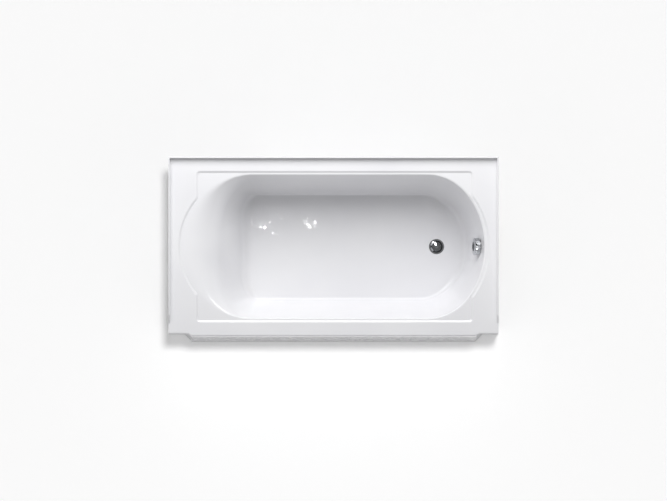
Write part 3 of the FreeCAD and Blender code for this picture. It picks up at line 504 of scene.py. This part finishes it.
def backrest_reach(bath, drop, grow):
    """How far the backrest stands out; its outer skin is a true offset of its long roll."""
    depth = basin_depth(bath)
    angle = math.atan2(depth, FLOOR["left"] - OPEN["left"])
    inner = wall_reach(max(drop - grow, 0), depth, -OPEN["left"], -FLOOR["left"],
                       bath.left_lip - grow, bath.left_cove + grow)
    return grow * math.tan(angle / 2) + inner


def in_basin(bath, drop, grow):
    """Test for the basin's outline at a drop, pushed out by a wall thickness."""
    depth = basin_depth(bath) + grow
    share = drop / depth
    half = wall_reach(drop, depth, OPEN["half"], FLOOR["half"],
                      bath.side_lip, bath.side_cove + grow) + grow
    left = backrest_reach(bath, drop, grow)
    right = wall_reach(drop, depth, OPEN["right"], FLOOR["right"],
                       bath.right_lip, bath.right_cove + grow) + grow
    left_center = lerp(OPEN["left_center"], FLOOR["left_center"], share)
    right_center = lerp(OPEN["right_center"], FLOOR["right_center"], share)
    flat = lerp(OPEN["flat"], FLOOR["flat"], share)

    def inside(x, y):
        if abs(y) > half:
            return False
        if x > right_center:
            return ((x - right_center) / (right - right_center)) ** 2 + (y / half) ** 2 <= 1
        if x < left_center:
            along = (left_center - x) / (left + left_center)
            across = max(abs(y) - flat, 0) / (half - flat)
            return along ** 2 + across ** 2 <= 1
        return True
    return inside


# ---------------------------------------------------------------- casting: stations round it

# where the walls' stations end and the front's begin, and the front's lines at floor and rim
APRON_CUT = -363 * MM
END_FRONT_FOOT = -393 * MM
END_FRONT_TOP = -389 * MM
FRONT_FOOT = -428.5 * MM
FRONT_TOP = -399 * MM
PANEL_FOOT = 657 * MM
PANEL_TOP = 659 * MM
RETURN_FOOT = 35 * MM
RETURN_TOP = 13 * MM
# the corners of the front: their radius, the least it shrinks to, and about half their turn
PANEL_CORNER = 9 * MM
SHARPEST_CORNER = 0.5 * MM
HALF_BEND = math.radians(22.5)
CORNER_STEPS = 4
# a mark gets a station between these shares of a run, and the stations closer to it than this
# share of their spacing give way
FIRST_SHARE = 0.01
LAST_SHARE = 0.99
CROWDED = 0.35
# a run's turn under which it points at the mark, and a distance that is none
PARALLEL = 1e-9
SAME_PLACE = 1e-6


def stations(start, end, spacing, found):
    """Shares along a straight run, evenly spaced, with one on the ray to each mark."""
    count = max(1, math.ceil((end - start).length / spacing))
    shares = [i / count for i in range(count + 1)]
    run = end - start
    for mark in found:
        turn = run.x * mark.y - run.y * mark.x
        if abs(turn) < PARALLEL:
            continue
        share = (start.y * mark.x - start.x * mark.y) / turn
        hit = start + run * share
        if FIRST_SHARE < share < LAST_SHARE and hit.dot(mark) > 0:
            shares = [a for a in shares if abs(a - share) * count > CROWDED or a in (0, 1)]
            shares.append(share)
    return sorted(shares)


def marks(bath):
    """Corners and kinks of the recessed frame, which get a station each."""
    points = []
    for x, side in ((FRAME_LEFT, -1), (FRAME_RIGHT, 1)):
        for y, way in ((FRAME_BACK, 1), (FRAME_FRONT, -1)):
            for i in range(CORNER_STEPS + 1):
                angle = QUARTER_TURN * i / CORNER_STEPS
                along = side * FRAME_CORNER * (1 - math.cos(angle))
                across = way * FRAME_CORNER * (1 - math.sin(angle))
                points.append(Vector((x - along, y - across - bath.basin_y)))
    for x, (center, tip) in zip((FRAME_LEFT, FRAME_RIGHT), BULGES):
        rise = BULGE_HALF * math.sqrt(1 - ((x - center) / (tip - center)) ** 2)
        points += [Vector((x, rise)), Vector((x, -rise))]
    return points


def front_corners(z, inset, corner_x):
    """Corners of the front in plan at a height: ends, returns and panel."""
    share = z / RIM_HEIGHT
    panel = lerp(PANEL_FOOT, PANEL_TOP, share)
    run = lerp(RETURN_FOOT, RETURN_TOP, share)
    end = lerp(END_FRONT_FOOT, END_FRONT_TOP, share) + inset
    front = lerp(FRONT_FOOT, FRONT_TOP, share) + inset
    shift = inset * math.tan(HALF_BEND)
    half = [Vector((-corner_x, end)), Vector((-panel - run + shift, end)),
            Vector((-panel + shift, front))]
    return half + [Vector((-p.x, p.y)) for p in reversed(half)]


class Perimeter:
    """The stations round the casting: along its walls, its two ends and its front."""

    def __init__(self, bath):
        self.bath = bath
        self.edge = bath.flange_thickness + bath.flange_foot
        self.x0 = HALF_LENGTH - self.edge
        self.y0 = BACK_Y - self.edge
        found = marks(bath)
        middle = Vector((0, bath.basin_y))
        right_foot = Vector((self.x0, APRON_CUT)) - middle
        right_back = Vector((self.x0, self.y0)) - middle
        left_back = Vector((-self.x0, self.y0)) - middle
        left_foot = Vector((-self.x0, APRON_CUT)) - middle
        run_outs = [Vector((side * self.x0, y)) - middle for side in (-1, 1)
                    for y in (bath.flange_end, bath.flange_end - bath.flange_run_out)]
        side_marks = found + run_outs
        self.wall = []
        for start, end, kind in ((right_foot, right_back, "side"), (right_back, left_back, "back"),
                                 (left_back, left_foot, "side")):
            for share in stations(start, end, bath.station, side_marks):
                point = lerp(start, end, share) + middle
                if not self.wall or (point - self.wall[-1][0]).length > SAME_PLACE:
                    self.wall.append((point, kind))
        plan = front_corners(RIM_HEIGHT, bath.apron_top, self.x0)
        corner = plan[0] - middle
        self.end_shares = stations(left_foot, corner, bath.station, found)
        self.front_shares = [stations(a - middle, b - middle, bath.station, found)
                             for a, b in zip(plan, plan[1:])]

    def wall_row(self, out, z):
        """The walls' stations, pushed out by a distance, no higher than the tile flange."""
        row = []
        back = self.bath.basin_y
        for point, kind in self.wall:
            x, y = point
            if kind == "side":
                x = math.copysign(self.x0 + out, x)
                if y > back:
                    y = back + (y - back) * (self.y0 + out - back) / (self.y0 - back)
            else:
                x = x * (self.x0 + out) / self.x0
                y = self.y0 + out
            row.append(Vector((x, y, min(z, self.flange_top(y)))))
        return row

    def flange_top(self, y):
        """Height that the tile flange reaches at a place along the sides."""
        bath = self.bath
        share = (y - bath.flange_end + bath.flange_run_out) / bath.flange_run_out
        return RIM_HEIGHT + FLANGE_RISE * min(max(share, 0), 1)

    def front_row(self, z, inset, corner_x, flat_end_z=None):
        """The front's stations at a height, from one end round to the other."""
        plan = front_corners(z, inset, corner_x)
        bends = len(plan) - 2
        bend = max(PANEL_CORNER - inset, SHARPEST_CORNER)
        soft = rounded(plan, [bend] * bends, CORNER_STEPS)
        ends = [soft[0]]
        for i in range(bends):
            first = 1 + i * (CORNER_STEPS + 1)
            ends += [soft[first], soft[first + CORNER_STEPS]]
        ends.append(soft[-1])
        end_z = z if flat_end_z is None else flat_end_z
        row = [Vector((plan[0].x, lerp(APRON_CUT, plan[0].y, share), end_z))
               for share in self.end_shares[:-1]]
        for i, shares in enumerate(self.front_shares):
            start = ends[2 * i]
            stop = ends[2 * i + 1]
            for share in shares:
                point = lerp(start, stop, share)
                row.append(Vector((point.x, point.y, z)))
            if i < bends:
                first = 1 + i * (CORNER_STEPS + 1)
                for point in soft[first + 1:first + CORNER_STEPS]:
                    row.append(Vector((point.x, point.y, z)))
        row += [Vector((plan[-1].x, lerp(APRON_CUT, plan[-1].y, share), end_z))
                for share in reversed(self.end_shares[:-1])]
        return row


# ---------------------------------------------------------------- casting: its rows

# the waste's hole, its recess in the floor, and the pad under it that the gasket seats on
HOLE_RADIUS = 26 * MM
SEAT_RADIUS = 36 * MM
RECESS_DEPTH = 3 * MM
RECESS_RADIUS = 36.5 * MM
# the recessed frame's step: the flats beside it, and the radii at its foot and its top
STEP_FLAT = 4 * MM
STEP_RADII = (3 * MM, 2.5 * MM)
STEP_STEPS = 3
# the tile flange's arcs, and how far the foot's arc stays from the profile's start
FLANGE_STEPS = 4
SHORT_OF_END = 0.01 * MM
# the apron's face and its round foot
APRON_SPANS = 6
APRON_FOOT_ROWS = 6
# rings round the basin's lips and coves, and between them
SIDE_LIP_RINGS = 5
BACKREST_LIP_RINGS = 10
COVE_RINGS = 8
LOWEST_LIP_RING = 110 * MM
CLOSEST_RINGS = 0.15 * MM
WIDEST_RINGS = 26 * MM
# the outer skin's rings start this far under the top of that skin
FIRST_SKIN_RING = 0.5 * MM
# shares of the way between two rings, with one beside each edge that has to stay crisp
FLOOR_SHARES = (0.02, 0.25, 0.5, 0.75, 0.985)
LEDGE_SHARES = (0.06, 0.5)
PLATEAU_SHARES = (0.5, 0.97)
UNDERSIDE_SHARES = (0.03, 0.5, 0.97, 1.0)
SKIN_TOP_SHARES = (0.04, 0.96, 1.0)
PAD_SHARES = (0.02, 0.5, 0.97, 1.0)


def floor_height(bath, x, share=1.0):
    """Height of the floor's plane, which falls to the waste; a smaller share levels it."""
    tilt = bath.floor_fall * share / (DRAIN_MIDDLE.x - FLOOR["left"])
    return bath.basin_floor + tilt * (DRAIN_MIDDLE.x - x)


def basin_row(bath, ways, drop, grow):
    """One ring of the basin at a drop below the ledge."""
    inside = in_basin(bath, drop, grow)
    share = drop / (basin_depth(bath) + grow)
    row = []
    for way in ways:
        flat = way * reach(inside, way)
        rise = floor_height(bath, flat.x, share) - bath.basin_floor
        row.append(Vector((flat.x, flat.y + bath.basin_y, ledge_height(bath) - drop + rise)))
    return row


def frame_row(bath, ways, inset, z):
    """One ring of the recessed frame's step."""
    inside = in_frame(bath, inset)
    row = []
    for way in ways:
        flat = way * reach(inside, way)
        row.append(Vector((flat.x, flat.y + bath.basin_y, z)))
    return row


def arc_drops(radius, steps):
    """Drops along a quarter of an arc, at even turns."""
    return [radius * (1 - math.cos(QUARTER_TURN * i / steps)) for i in range(1, steps + 1)]


def basin_drops(bath, grow):
    """Drops at which the basin has a ring: close together round its lips and coves."""
    depth = basin_depth(bath) + grow
    drops = {0.0, depth}
    for radius, steps in ((bath.side_lip, SIDE_LIP_RINGS), (bath.left_lip, BACKREST_LIP_RINGS)):
        drops.update(min(drop, LOWEST_LIP_RING) for drop in arc_drops(radius, steps))
    for radius in (bath.side_cove + grow, bath.left_cove + grow):
        drops.update(depth - rise for rise in arc_drops(radius, COVE_RINGS))
    spread = sorted(drops)
    kept = [spread[0]]
    for drop in spread[1:]:
        if drop - kept[-1] > CLOSEST_RINGS:
            kept.append(drop)
    wide = []
    for low, high in zip(kept, kept[1:]):
        parts = max(1, math.ceil((high - low) / WIDEST_RINGS))
        wide += [lerp(low, high, i / parts) for i in range(parts)]
    return wide + [kept[-1]]


def round_waste(row, radius, z):
    """A ring round the waste's axis, each point in line with one of another ring."""
    axis = DRAIN_MIDDLE
    ring = []
    for point in row:
        way = Vector((point.x - axis.x, point.y - axis.y)).normalized()
        ring.append(Vector((axis.x + way.x * radius, axis.y + way.y * radius, z)))
    return ring


def between(first, second, share):
    """A ring between two rings."""
    return [lerp(a, b, share) for a, b in zip(first, second)]


def flange_profile(bath):
    """Distances out and heights over the tile flange, from its foot to the rim's edge."""
    top = CASTING_HIGH.z
    foot = bath.flange_foot
    edge = bath.flange_edge
    out = foot + bath.flange_thickness
    corners = [Vector((0, RIM_HEIGHT)), Vector((foot, RIM_HEIGHT)), Vector((foot, top)),
               Vector((out, top)), Vector((out, RIM_HEIGHT - bath.rim_thickness))]
    return rounded(corners, [foot - SHORT_OF_END, edge, edge], FLANGE_STEPS)


def waste_hole_rows(bath, floor_ring):
    """Rings from the waste's seat up its hole, over the recess and out to the floor's edge."""
    recess = [Vector((p.x, p.y, floor_height(bath, p.x)))
              for p in round_waste(floor_ring, RECESS_RADIUS, bath.basin_floor)]
    rows = [round_waste(floor_ring, HOLE_RADIUS, DRAIN_HIGH.z),
            round_waste(floor_ring, HOLE_RADIUS, bath.basin_floor - RECESS_DEPTH), recess]
    return rows + [between(recess, floor_ring, share) for share in FLOOR_SHARES]


def frame_rows(bath, ways, lip, plateau):
    """Rings over the ledge, up the recessed frame's step and out over the rim."""
    ledge = ledge_height(bath)
    step = [Vector((bath.frame_slope + STEP_FLAT, ledge)), Vector((bath.frame_slope, ledge)),
            Vector((0, RIM_HEIGHT)), Vector((-STEP_FLAT, RIM_HEIGHT))]
    first_step = frame_row(bath, ways, step[0].x, ledge)
    rows = [between(lip, first_step, share) for share in LEDGE_SHARES]
    rows += [frame_row(bath, ways, point.x, point.y)
             for point in rounded(step, STEP_RADII, STEP_STEPS)]
    return rows + [between(rows[-1], plateau, share) for share in PLATEAU_SHARES]


def rim_edge_rows(bath, around):
    """Rings over the tile flange at the walls, and over the apron's round top in front."""
    profile = flange_profile(bath)
    rows = []
    for i, point in enumerate(profile):
        share = i / (len(profile) - 1)
        turn = QUARTER_TURN * share
        z = RIM_HEIGHT - bath.apron_top * (1 - math.cos(turn))
        inset = bath.apron_top * (1 - math.sin(turn))
        row = around.wall_row(point.x, point.y)
        row += around.front_row(z, inset, around.x0 + around.edge * share, RIM_HEIGHT)
        rows.append(row)
    return rows


def apron_rows(bath, around):
    """Rings down the apron's face, round its foot and up its inside."""
    under = RIM_HEIGHT - bath.rim_thickness
    edge = around.wall_row(around.edge, under)
    inner_edge = around.wall_row(around.edge - bath.wall, under)
    heights = [lerp(under, bath.apron_foot, i / APRON_SPANS) for i in range(APRON_SPANS + 1)]
    rows = [edge + around.front_row(z, 0, HALF_LENGTH) for z in heights]
    for i in range(1, APRON_FOOT_ROWS + 1):
        turn = QUARTER_TURN * i / APRON_FOOT_ROWS
        z = bath.apron_foot * (1 - math.sin(turn))
        inset = bath.apron_foot * (1 - math.cos(turn))
        rows.append(edge + around.front_row(z, inset, HALF_LENGTH))
    inner_x = HALF_LENGTH - bath.wall
    for z in (0.0, *reversed(heights)):
        rows.append(inner_edge + around.front_row(z, bath.wall, inner_x))
    return rows


def underside_rows(bath, ways, inside, floor_ring):
    """Rings under the rim, down the basin's outer skin and in to the waste's seat."""
    grown = frame_row(bath, ways, -bath.wall, RIM_HEIGHT - bath.rim_thickness)
    low = frame_row(bath, ways, -bath.wall, ledge_height(bath) - bath.rim_thickness)
    rows = [between(inside, grown, share) for share in UNDERSIDE_SHARES]
    rows.append(low)
    skin_top = basin_row(bath, ways, bath.rim_thickness, bath.wall)
    rows += [between(low, skin_top, share) for share in SKIN_TOP_SHARES]
    rows += [basin_row(bath, ways, drop, bath.wall) for drop in basin_drops(bath, bath.wall)
             if drop > bath.rim_thickness + FIRST_SKIN_RING]
    pad = round_waste(floor_ring, SEAT_RADIUS, bath.basin_floor - bath.wall)
    rows += [between(rows[-1], pad, share) for share in PAD_SHARES]
    rows.append(round_waste(floor_ring, SEAT_RADIUS, DRAIN_HIGH.z))
    return rows


def casting_rows(bath):
    """Every ring of the casting's skin, from the waste hole out over the rim and back under."""
    around = Perimeter(bath)
    plateau = around.wall_row(0, RIM_HEIGHT)
    plateau += around.front_row(RIM_HEIGHT, bath.apron_top, around.x0)
    ways = [Vector((p.x, p.y - bath.basin_y)).normalized() for p in plateau]
    floor_ring = basin_row(bath, ways, basin_depth(bath), 0)
    rows = waste_hole_rows(bath, floor_ring)
    rows += [basin_row(bath, ways, drop, 0) for drop in reversed(basin_drops(bath, 0))]
    rows += frame_rows(bath, ways, rows[-1], plateau)
    rows += rim_edge_rows(bath, around)
    rows += apron_rows(bath, around)
    rows += underside_rows(bath, ways, rows[-1], floor_ring)
    return rows


# ---------------------------------------------------------------- casting: feet, boss and hole

# the four stub feet: their ends' radii, their height and softened edge, and their places
FOOT_RADIUS = 26 * MM
FOOT_TOP_RADIUS = 38 * MM
FOOT_HEIGHT = 87 * MM
FOOT_EDGE = 3 * MM
FOOT_X = 330 * MM
FOOT_FROM_MIDDLE = 150 * MM
FOOT_SIDES = 48
# a turned piece starts this far from its axis, where cap_ends closes it
AXIS_GAP = 0.1 * MM
# the pad round the overflow's hole, how far it stands out of the wall, and the hole's cutter
BOSS_RADIUS = 44 * MM
BOSS_RISE = 5 * MM
BOSS_EDGE = 1.5 * MM
OVERFLOW_HOLE_RADIUS = 31 * MM
OVERFLOW_CUT = 30 * MM
OVERFLOW_SIDES = 72
FOOT_EDGE_STEPS = 4
BOSS_EDGE_STEPS = 3


def lathe_rows(profile, count):
    """Rings of a turned piece about Z, from (radius, height) pairs."""
    rows = []
    for radius, height in profile:
        ring = []
        for i in range(count):
            angle = 2 * math.pi * i / count
            ring.append(Vector((radius * math.cos(angle), radius * math.sin(angle), height)))
        rows.append(ring)
    return rows


def cast_foot(x, y):
    """One stub foot under the basin, with a softened base."""
    corners = [Vector((AXIS_GAP, 0)), Vector((FOOT_RADIUS, 0)),
               Vector((FOOT_TOP_RADIUS, FOOT_HEIGHT)), Vector((AXIS_GAP, FOOT_HEIGHT))]
    profile = rounded(corners, [FOOT_EDGE, 0], FOOT_EDGE_STEPS)
    place = Vector((x, y, 0))
    return [[point + place for point in ring] for ring in lathe_rows(profile, FOOT_SIDES)]


def on_overflow(rows):
    """Turns rings about Z onto the overflow's axis, with Z pointing out of the basin."""
    turn = (-INTO_BASIN).to_track_quat("Z", "Y").to_matrix().to_4x4()
    place = Matrix.Translation(OVERFLOW_POINT) @ turn
    return [[place @ point for point in ring] for ring in rows]


def overflow_boss(bath):
    """The round pad on the outside of the end wall that the overflow is clamped to."""
    start = bath.wall / 2
    end = bath.wall + BOSS_RISE
    corners = [Vector((OVERFLOW_HOLE_RADIUS, start)), Vector((BOSS_RADIUS, start)),
               Vector((BOSS_RADIUS, end)), Vector((OVERFLOW_HOLE_RADIUS, end)),
               Vector((OVERFLOW_HOLE_RADIUS, start))]
    profile = rounded(corners, [0, BOSS_EDGE, 0], BOSS_EDGE_STEPS)
    return on_overflow(lathe_rows(profile, OVERFLOW_SIDES))


def cut_overflow_hole(casting):
    """Cuts the overflow's hole through the end wall."""
    corners = [(AXIS_GAP, -OVERFLOW_CUT), (OVERFLOW_HOLE_RADIUS, -OVERFLOW_CUT),
               (OVERFLOW_HOLE_RADIUS, OVERFLOW_CUT), (AXIS_GAP, OVERFLOW_CUT)]
    rows = on_overflow(lathe_rows(corners, OVERFLOW_SIDES))
    cutter = mesh_object("overflow_hole_cutter", rows, "tub", "enamel")
    cap_ends(cutter)
    cut = casting.modifiers.new("overflow hole", "BOOLEAN")
    cut.operation = "DIFFERENCE"
    cut.solver = "EXACT"
    cut.object = cutter
    keep_evaluated(casting)
    bpy.data.objects.remove(cutter)


def cap_ends(piece):
    """Closes a mesh's open ends."""
    mesh = bmesh.new()
    mesh.from_mesh(piece.data)
    open_edges = [edge for edge in mesh.edges if edge.is_boundary]
    bmesh.ops.holes_fill(mesh, edges=open_edges, sides=0)
    bmesh.ops.recalc_face_normals(mesh, faces=mesh.faces)
    mesh.to_mesh(piece.data)
    mesh.free()


def keep_evaluated(piece):
    """Applies a piece's modifiers."""
    graph = bpy.context.evaluated_depsgraph_get()
    data = bpy.data.meshes.new_from_object(piece.evaluated_get(graph))
    piece.modifiers.clear()
    piece.data = data


# ---------------------------------------------------------------- the studio

# half the floor's side, which is as far as a low view from the far-off camera sees
FLOOR_HALF = 250.0
# soft lamps: place, target, width and depth
KEY_LAMP = ((-0.18, 2.40, 2.86), (0, 0, 0.3), 4.6, 2.35)
APRON_LAMP = ((0, -3.6, 0.6), (0, -0.42, 0.25), 3.0, 0.6)
SPARK_LAMP = ((0.08, 1.05, 2.44), DRAIN_MIDDLE, 0.45, 0.28)
SHEEN_LAMP = ((1.73, -1.08, 2.10), DRAIN_MIDDLE, 1.0, 0.5)
APRON_POWER = 5
SPARK_POWER = 9
SHEEN_POWER = 14
# the high light that draws the bath's shadow: the way it comes from, and its spread in radians
SUN_FROM = (0.058, 0.150, 1)
SUN_SPREAD = 0.11
# small bare lamps over the basin, mirrored in the enamel's ripples: x, y and power
GLINTS = ((-0.320, 0.110, 0.045), (-0.286, 0.136, 0.050), (-0.240, 0.152, 0.030),
          (-0.118, 0.132, 0.012), (-0.086, 0.126, 0.02), (-0.252, 0.061, 0.006))
GLINT_HEIGHT = 1.3
GLINT_SIZE = (8 * MM, 6 * MM)
# the room's walls, as shares of its light: the front one, and how much the ends add
FRONT_WALL = 2.1
END_WALLS = 0.3
# the ceiling that glossy faces mirror, by how steeply a direction rises: where it takes over
# from the walls, where its dark part gives way to the paler middle, and those two strengths
CEILING_EDGE = (0.08, 0.30)
CEILING_MIDDLE = (0.82, 0.94)
CEILING_STRENGTHS = (0.02, 0.25)
# the bath stands this little behind the middle of the picture
CAMERA_FORWARD = 4 * MM
# how far the camera sees, in its own heights
CLIP_HEIGHTS = 4


def pieces_in(slot):
    """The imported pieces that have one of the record's slots."""
    return [frame["nodes"][part["node"]] for part in frame["record"]["subparts"]
            if part["material_slot"] == slot]


def make_floor(settings):
    """A pale floor that keeps the bath's shadow and looks nearly white to the camera."""
    data = bpy.data.meshes.new("studio_floor")
    half = FLOOR_HALF
    data.from_pydata([(-half, -half, 0), (half, -half, 0), (half, half, 0), (-half, half, 0)],
                     [], [(0, 1, 2, 3)])
    floor = placed("studio_floor", data)
    material, tree = new_material("studio paper, matt white")
    paper = add_node(tree, "ShaderNodeBsdfDiffuse",
                     inputs={"Color": (*settings.floor, 1)}).outputs["BSDF"]
    glow = add_node(tree, "ShaderNodeEmission",
                    inputs={"Strength": settings.floor_glow}).outputs["Emission"]
    both = add_node(tree, "ShaderNodeAddShader", inputs={0: paper, 1: glow}).outputs["Shader"]
    seen = add_node(tree, "ShaderNodeLightPath").outputs["Is Camera Ray"]
    lit = add_node(tree, "ShaderNodeMixShader", inputs={0: seen, 1: paper, 2: both})
    add_node(tree, "ShaderNodeOutputMaterial", inputs={"Surface": lit.outputs["Shader"]})
    data.materials.append(material)
    return floor


def area_light(name, place, target, width, depth, power):
    """A soft rectangular lamp aimed at a point, which the camera doesn't see."""
    lamp = bpy.data.lights.new(name, "AREA")
    lamp.shape = "RECTANGLE"
    lamp.size = width
    lamp.size_y = depth
    lamp.energy = power
    made = placed(name, lamp)
    made.location = place
    made.rotation_euler = (Vector(target) - Vector(place)).to_track_quat("-Z", "Y").to_euler()
    made.visible_camera = False
    return made


def sun_light(name, toward, spread, strength):
    """A far lamp whose light comes from one way, softened by a spread in radians."""
    lamp = bpy.data.lights.new(name, "SUN")
    lamp.angle = spread
    lamp.energy = strength
    made = placed(name, lamp)
    made.rotation_euler = Vector(toward).to_track_quat("Z", "Y").to_euler()
    return made


def link_light(lamp, receivers, state):
    """Lets a lamp light only some objects, or all but those."""
    group = bpy.data.collections.new(lamp.name + "_receivers")
    for receiver in receivers:
        group.objects.link(receiver)
    for entry in group.collection_objects:
        entry.light_linking.link_state = state
    lamp.light_linking.receiver_collection = group


def make_lights(settings, floor):
    """Lamps for the enamel, the floor's shadow, the apron and the chrome, and the glints."""
    polished = pieces_in("chrome")
    key = area_light("key_light", *KEY_LAMP, settings.key_power)
    link_light(key, [floor, *polished], "EXCLUDE")
    high = sun_light("floor_light", SUN_FROM, SUN_SPREAD, settings.floor_sun)
    link_light(high, [floor], "INCLUDE")
    front = area_light("apron_light", *APRON_LAMP, APRON_POWER)
    link_light(front, [floor], "EXCLUDE")
    spark = area_light("chrome_spark", *SPARK_LAMP, SPARK_POWER)
    link_light(spark, polished, "INCLUDE")
    sheen = area_light("chrome_sheen", *SHEEN_LAMP, SHEEN_POWER)
    link_light(sheen, polished, "INCLUDE")
    for i, (x, y, power) in enumerate(GLINTS):
        glint = area_light("glint_lamp_%d" % (i + 1), (x, y, GLINT_HEIGHT), (x, y, 0),
                           *GLINT_SIZE, power)
        glint.visible_diffuse = False


def make_sky(settings):
    """A white room, lighter to the front, whose dark ceiling only glossy faces mirror."""
    world = bpy.data.worlds.new("studio_sky")
    world.use_nodes = True
    tree = world.node_tree
    tree.nodes.clear()
    toward = add_node(tree, "ShaderNodeTexCoord").outputs["Generated"]
    way = add_node(tree, "ShaderNodeSeparateXYZ", inputs={"Vector": toward}).outputs
    walls = add_node(tree, "ShaderNodeMapRange", inputs={
        "Value": way["Y"], "From Min": -1.0, "From Max": 1.0,
        "To Min": settings.sky * FRONT_WALL, "To Max": 0.0,
    }).outputs["Result"]
    end_on = add_node(tree, "ShaderNodeMath", {"operation": "ABSOLUTE"},
                      {0: way["X"]}).outputs[0]
    room = add_node(tree, "ShaderNodeMath", {"operation": "MULTIPLY_ADD"},
                    {0: end_on, 1: settings.sky * END_WALLS, 2: walls}).outputs[0]
    overhead = add_node(tree, "ShaderNodeMapRange", inputs={
        "Value": way["Z"], "From Min": CEILING_EDGE[0], "From Max": CEILING_EDGE[1],
        "To Min": 0.0, "To Max": 1.0,
    }).outputs["Result"]
    ceiling = add_node(tree, "ShaderNodeMapRange", inputs={
        "Value": way["Z"], "From Min": CEILING_MIDDLE[0], "From Max": CEILING_MIDDLE[1],
        "To Min": CEILING_STRENGTHS[0], "To Max": CEILING_STRENGTHS[1],
    }).outputs["Result"]
    mirrored = add_node(tree, "ShaderNodeLightPath").outputs["Is Glossy Ray"]
    share = add_node(tree, "ShaderNodeMath", {"operation": "MULTIPLY"},
                     {0: overhead, 1: mirrored}).outputs[0]
    strength = add_node(tree, "ShaderNodeMapRange", inputs={
        "Value": share, "To Min": room, "To Max": ceiling,
    }).outputs["Result"]
    sky = add_node(tree, "ShaderNodeBackground", inputs={
        "Color": (1, 1, 1, 1), "Strength": strength,
    })
    add_node(tree, "ShaderNodeOutputWorld", inputs={"Surface": sky.outputs[0]})
    bpy.context.scene.world = world


def make_camera(settings):
    """Straight overhead and far off, with a very long lens, so with hardly any perspective."""
    data = bpy.data.cameras.new("overhead_camera")
    data.lens = data.sensor_width * settings.camera_height / settings.picture_width
    data.clip_end = CLIP_HEIGHTS * settings.camera_height
    camera = placed("overhead_camera", data)
    camera.location = (0.0, -CAMERA_FORWARD, RIM_HEIGHT + settings.camera_height)
    bpy.context.scene.camera = camera


# ---------------------------------------------------------------- operators

class BATH_OT_casting(bpy.types.Operator):
    """Make the enamelled casting's smooth skin, with its feet and overflow boss"""

    bl_idname = "bath.casting"
    bl_label = "Enamelled casting"

    def execute(self, context):
        bath = context.scene.bath_casting
        casting = mesh_object("enamelled_casting", casting_rows(bath), "tub", "enamel",
                              closed_rows=True)
        cut_overflow_hole(casting)
        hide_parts("tub_casting")
        for end, x in (("left", -FOOT_X), ("right", FOOT_X)):
            for side, from_middle in (("front", -FOOT_FROM_MIDDLE), ("back", FOOT_FROM_MIDDLE)):
                foot = mesh_object("cast_foot_%s_%s" % (end, side),
                                   cast_foot(x, bath.basin_y + from_middle), "tub", "enamel")
                cap_ends(foot)
        mesh_object("overflow_boss", overflow_boss(bath), "tub", "enamel")
        return {"FINISHED"}


class BATH_OT_fittings(bpy.types.Operator):
    """Give the waste, the overflow, its handle and the pipework their finishes"""

    bl_idname = "bath.fittings"
    bl_label = "Fittings"

    def execute(self, context):
        for slot in FINISHES:
            for piece in pieces_in(slot):
                piece.data.materials.clear()
                piece.data.materials.append(finish_for(slot))
        return {"FINISHED"}


class BATH_OT_stage(bpy.types.Operator):
    """Set the floor, the light and the camera"""

    bl_idname = "bath.stage"
    bl_label = "Studio"

    def execute(self, context):
        settings = context.scene.bath_studio
        floor = make_floor(settings)
        make_lights(settings, floor)
        make_sky(settings)
        make_camera(settings)
        context.scene.view_settings.view_transform = "Standard"
        return {"FINISHED"}


class BATH_PT_panel(bpy.types.Panel):
    """The bath's sizes, colours and steps"""

    bl_idname = "BATH_PT_panel"
    bl_label = "Alcove Bath"
    bl_space_type = "VIEW_3D"
    bl_region_type = "UI"
    bl_category = "Alcove Bath"

    def draw(self, context):
        scene = context.scene
        for group in (scene.bath_casting, scene.bath_colours, scene.bath_studio):
            box = self.layout.box()
            for name in group.bl_rna.properties.keys():
                if name not in ("rna_type", "name"):
                    box.prop(group, name)
        for step in STEPS:
            self.layout.operator(step.bl_idname)


STEPS = (BATH_OT_casting, BATH_OT_fittings, BATH_OT_stage)
GROUPS = {"bath_casting": CastingSizes, "bath_colours": FinishColours,
          "bath_studio": StudioSettings}


def register():
    """Registers the groups, the operators and the panel."""
    for group in GROUPS.values():
        bpy.utils.register_class(group)
    for name, group in GROUPS.items():
        setattr(bpy.types.Scene, name, bpy.props.PointerProperty(type=group))
    for step in STEPS:
        bpy.utils.register_class(step)
    bpy.utils.register_class(BATH_PT_panel)


def unregister():
    """Takes them away again, in the opposite order."""
    bpy.utils.unregister_class(BATH_PT_panel)
    for step in reversed(STEPS):
        bpy.utils.unregister_class(step)
    for name, group in reversed(GROUPS.items()):
        delattr(bpy.types.Scene, name)
        bpy.utils.unregister_class(group)


def main():
    """Makes every piece and the studio."""
    register()
    bpy.ops.bath.casting()
    bpy.ops.bath.fittings()
    bpy.ops.bath.stage()
    bpy.context.view_layer.update()


if __name__ == "__main__":
    main()
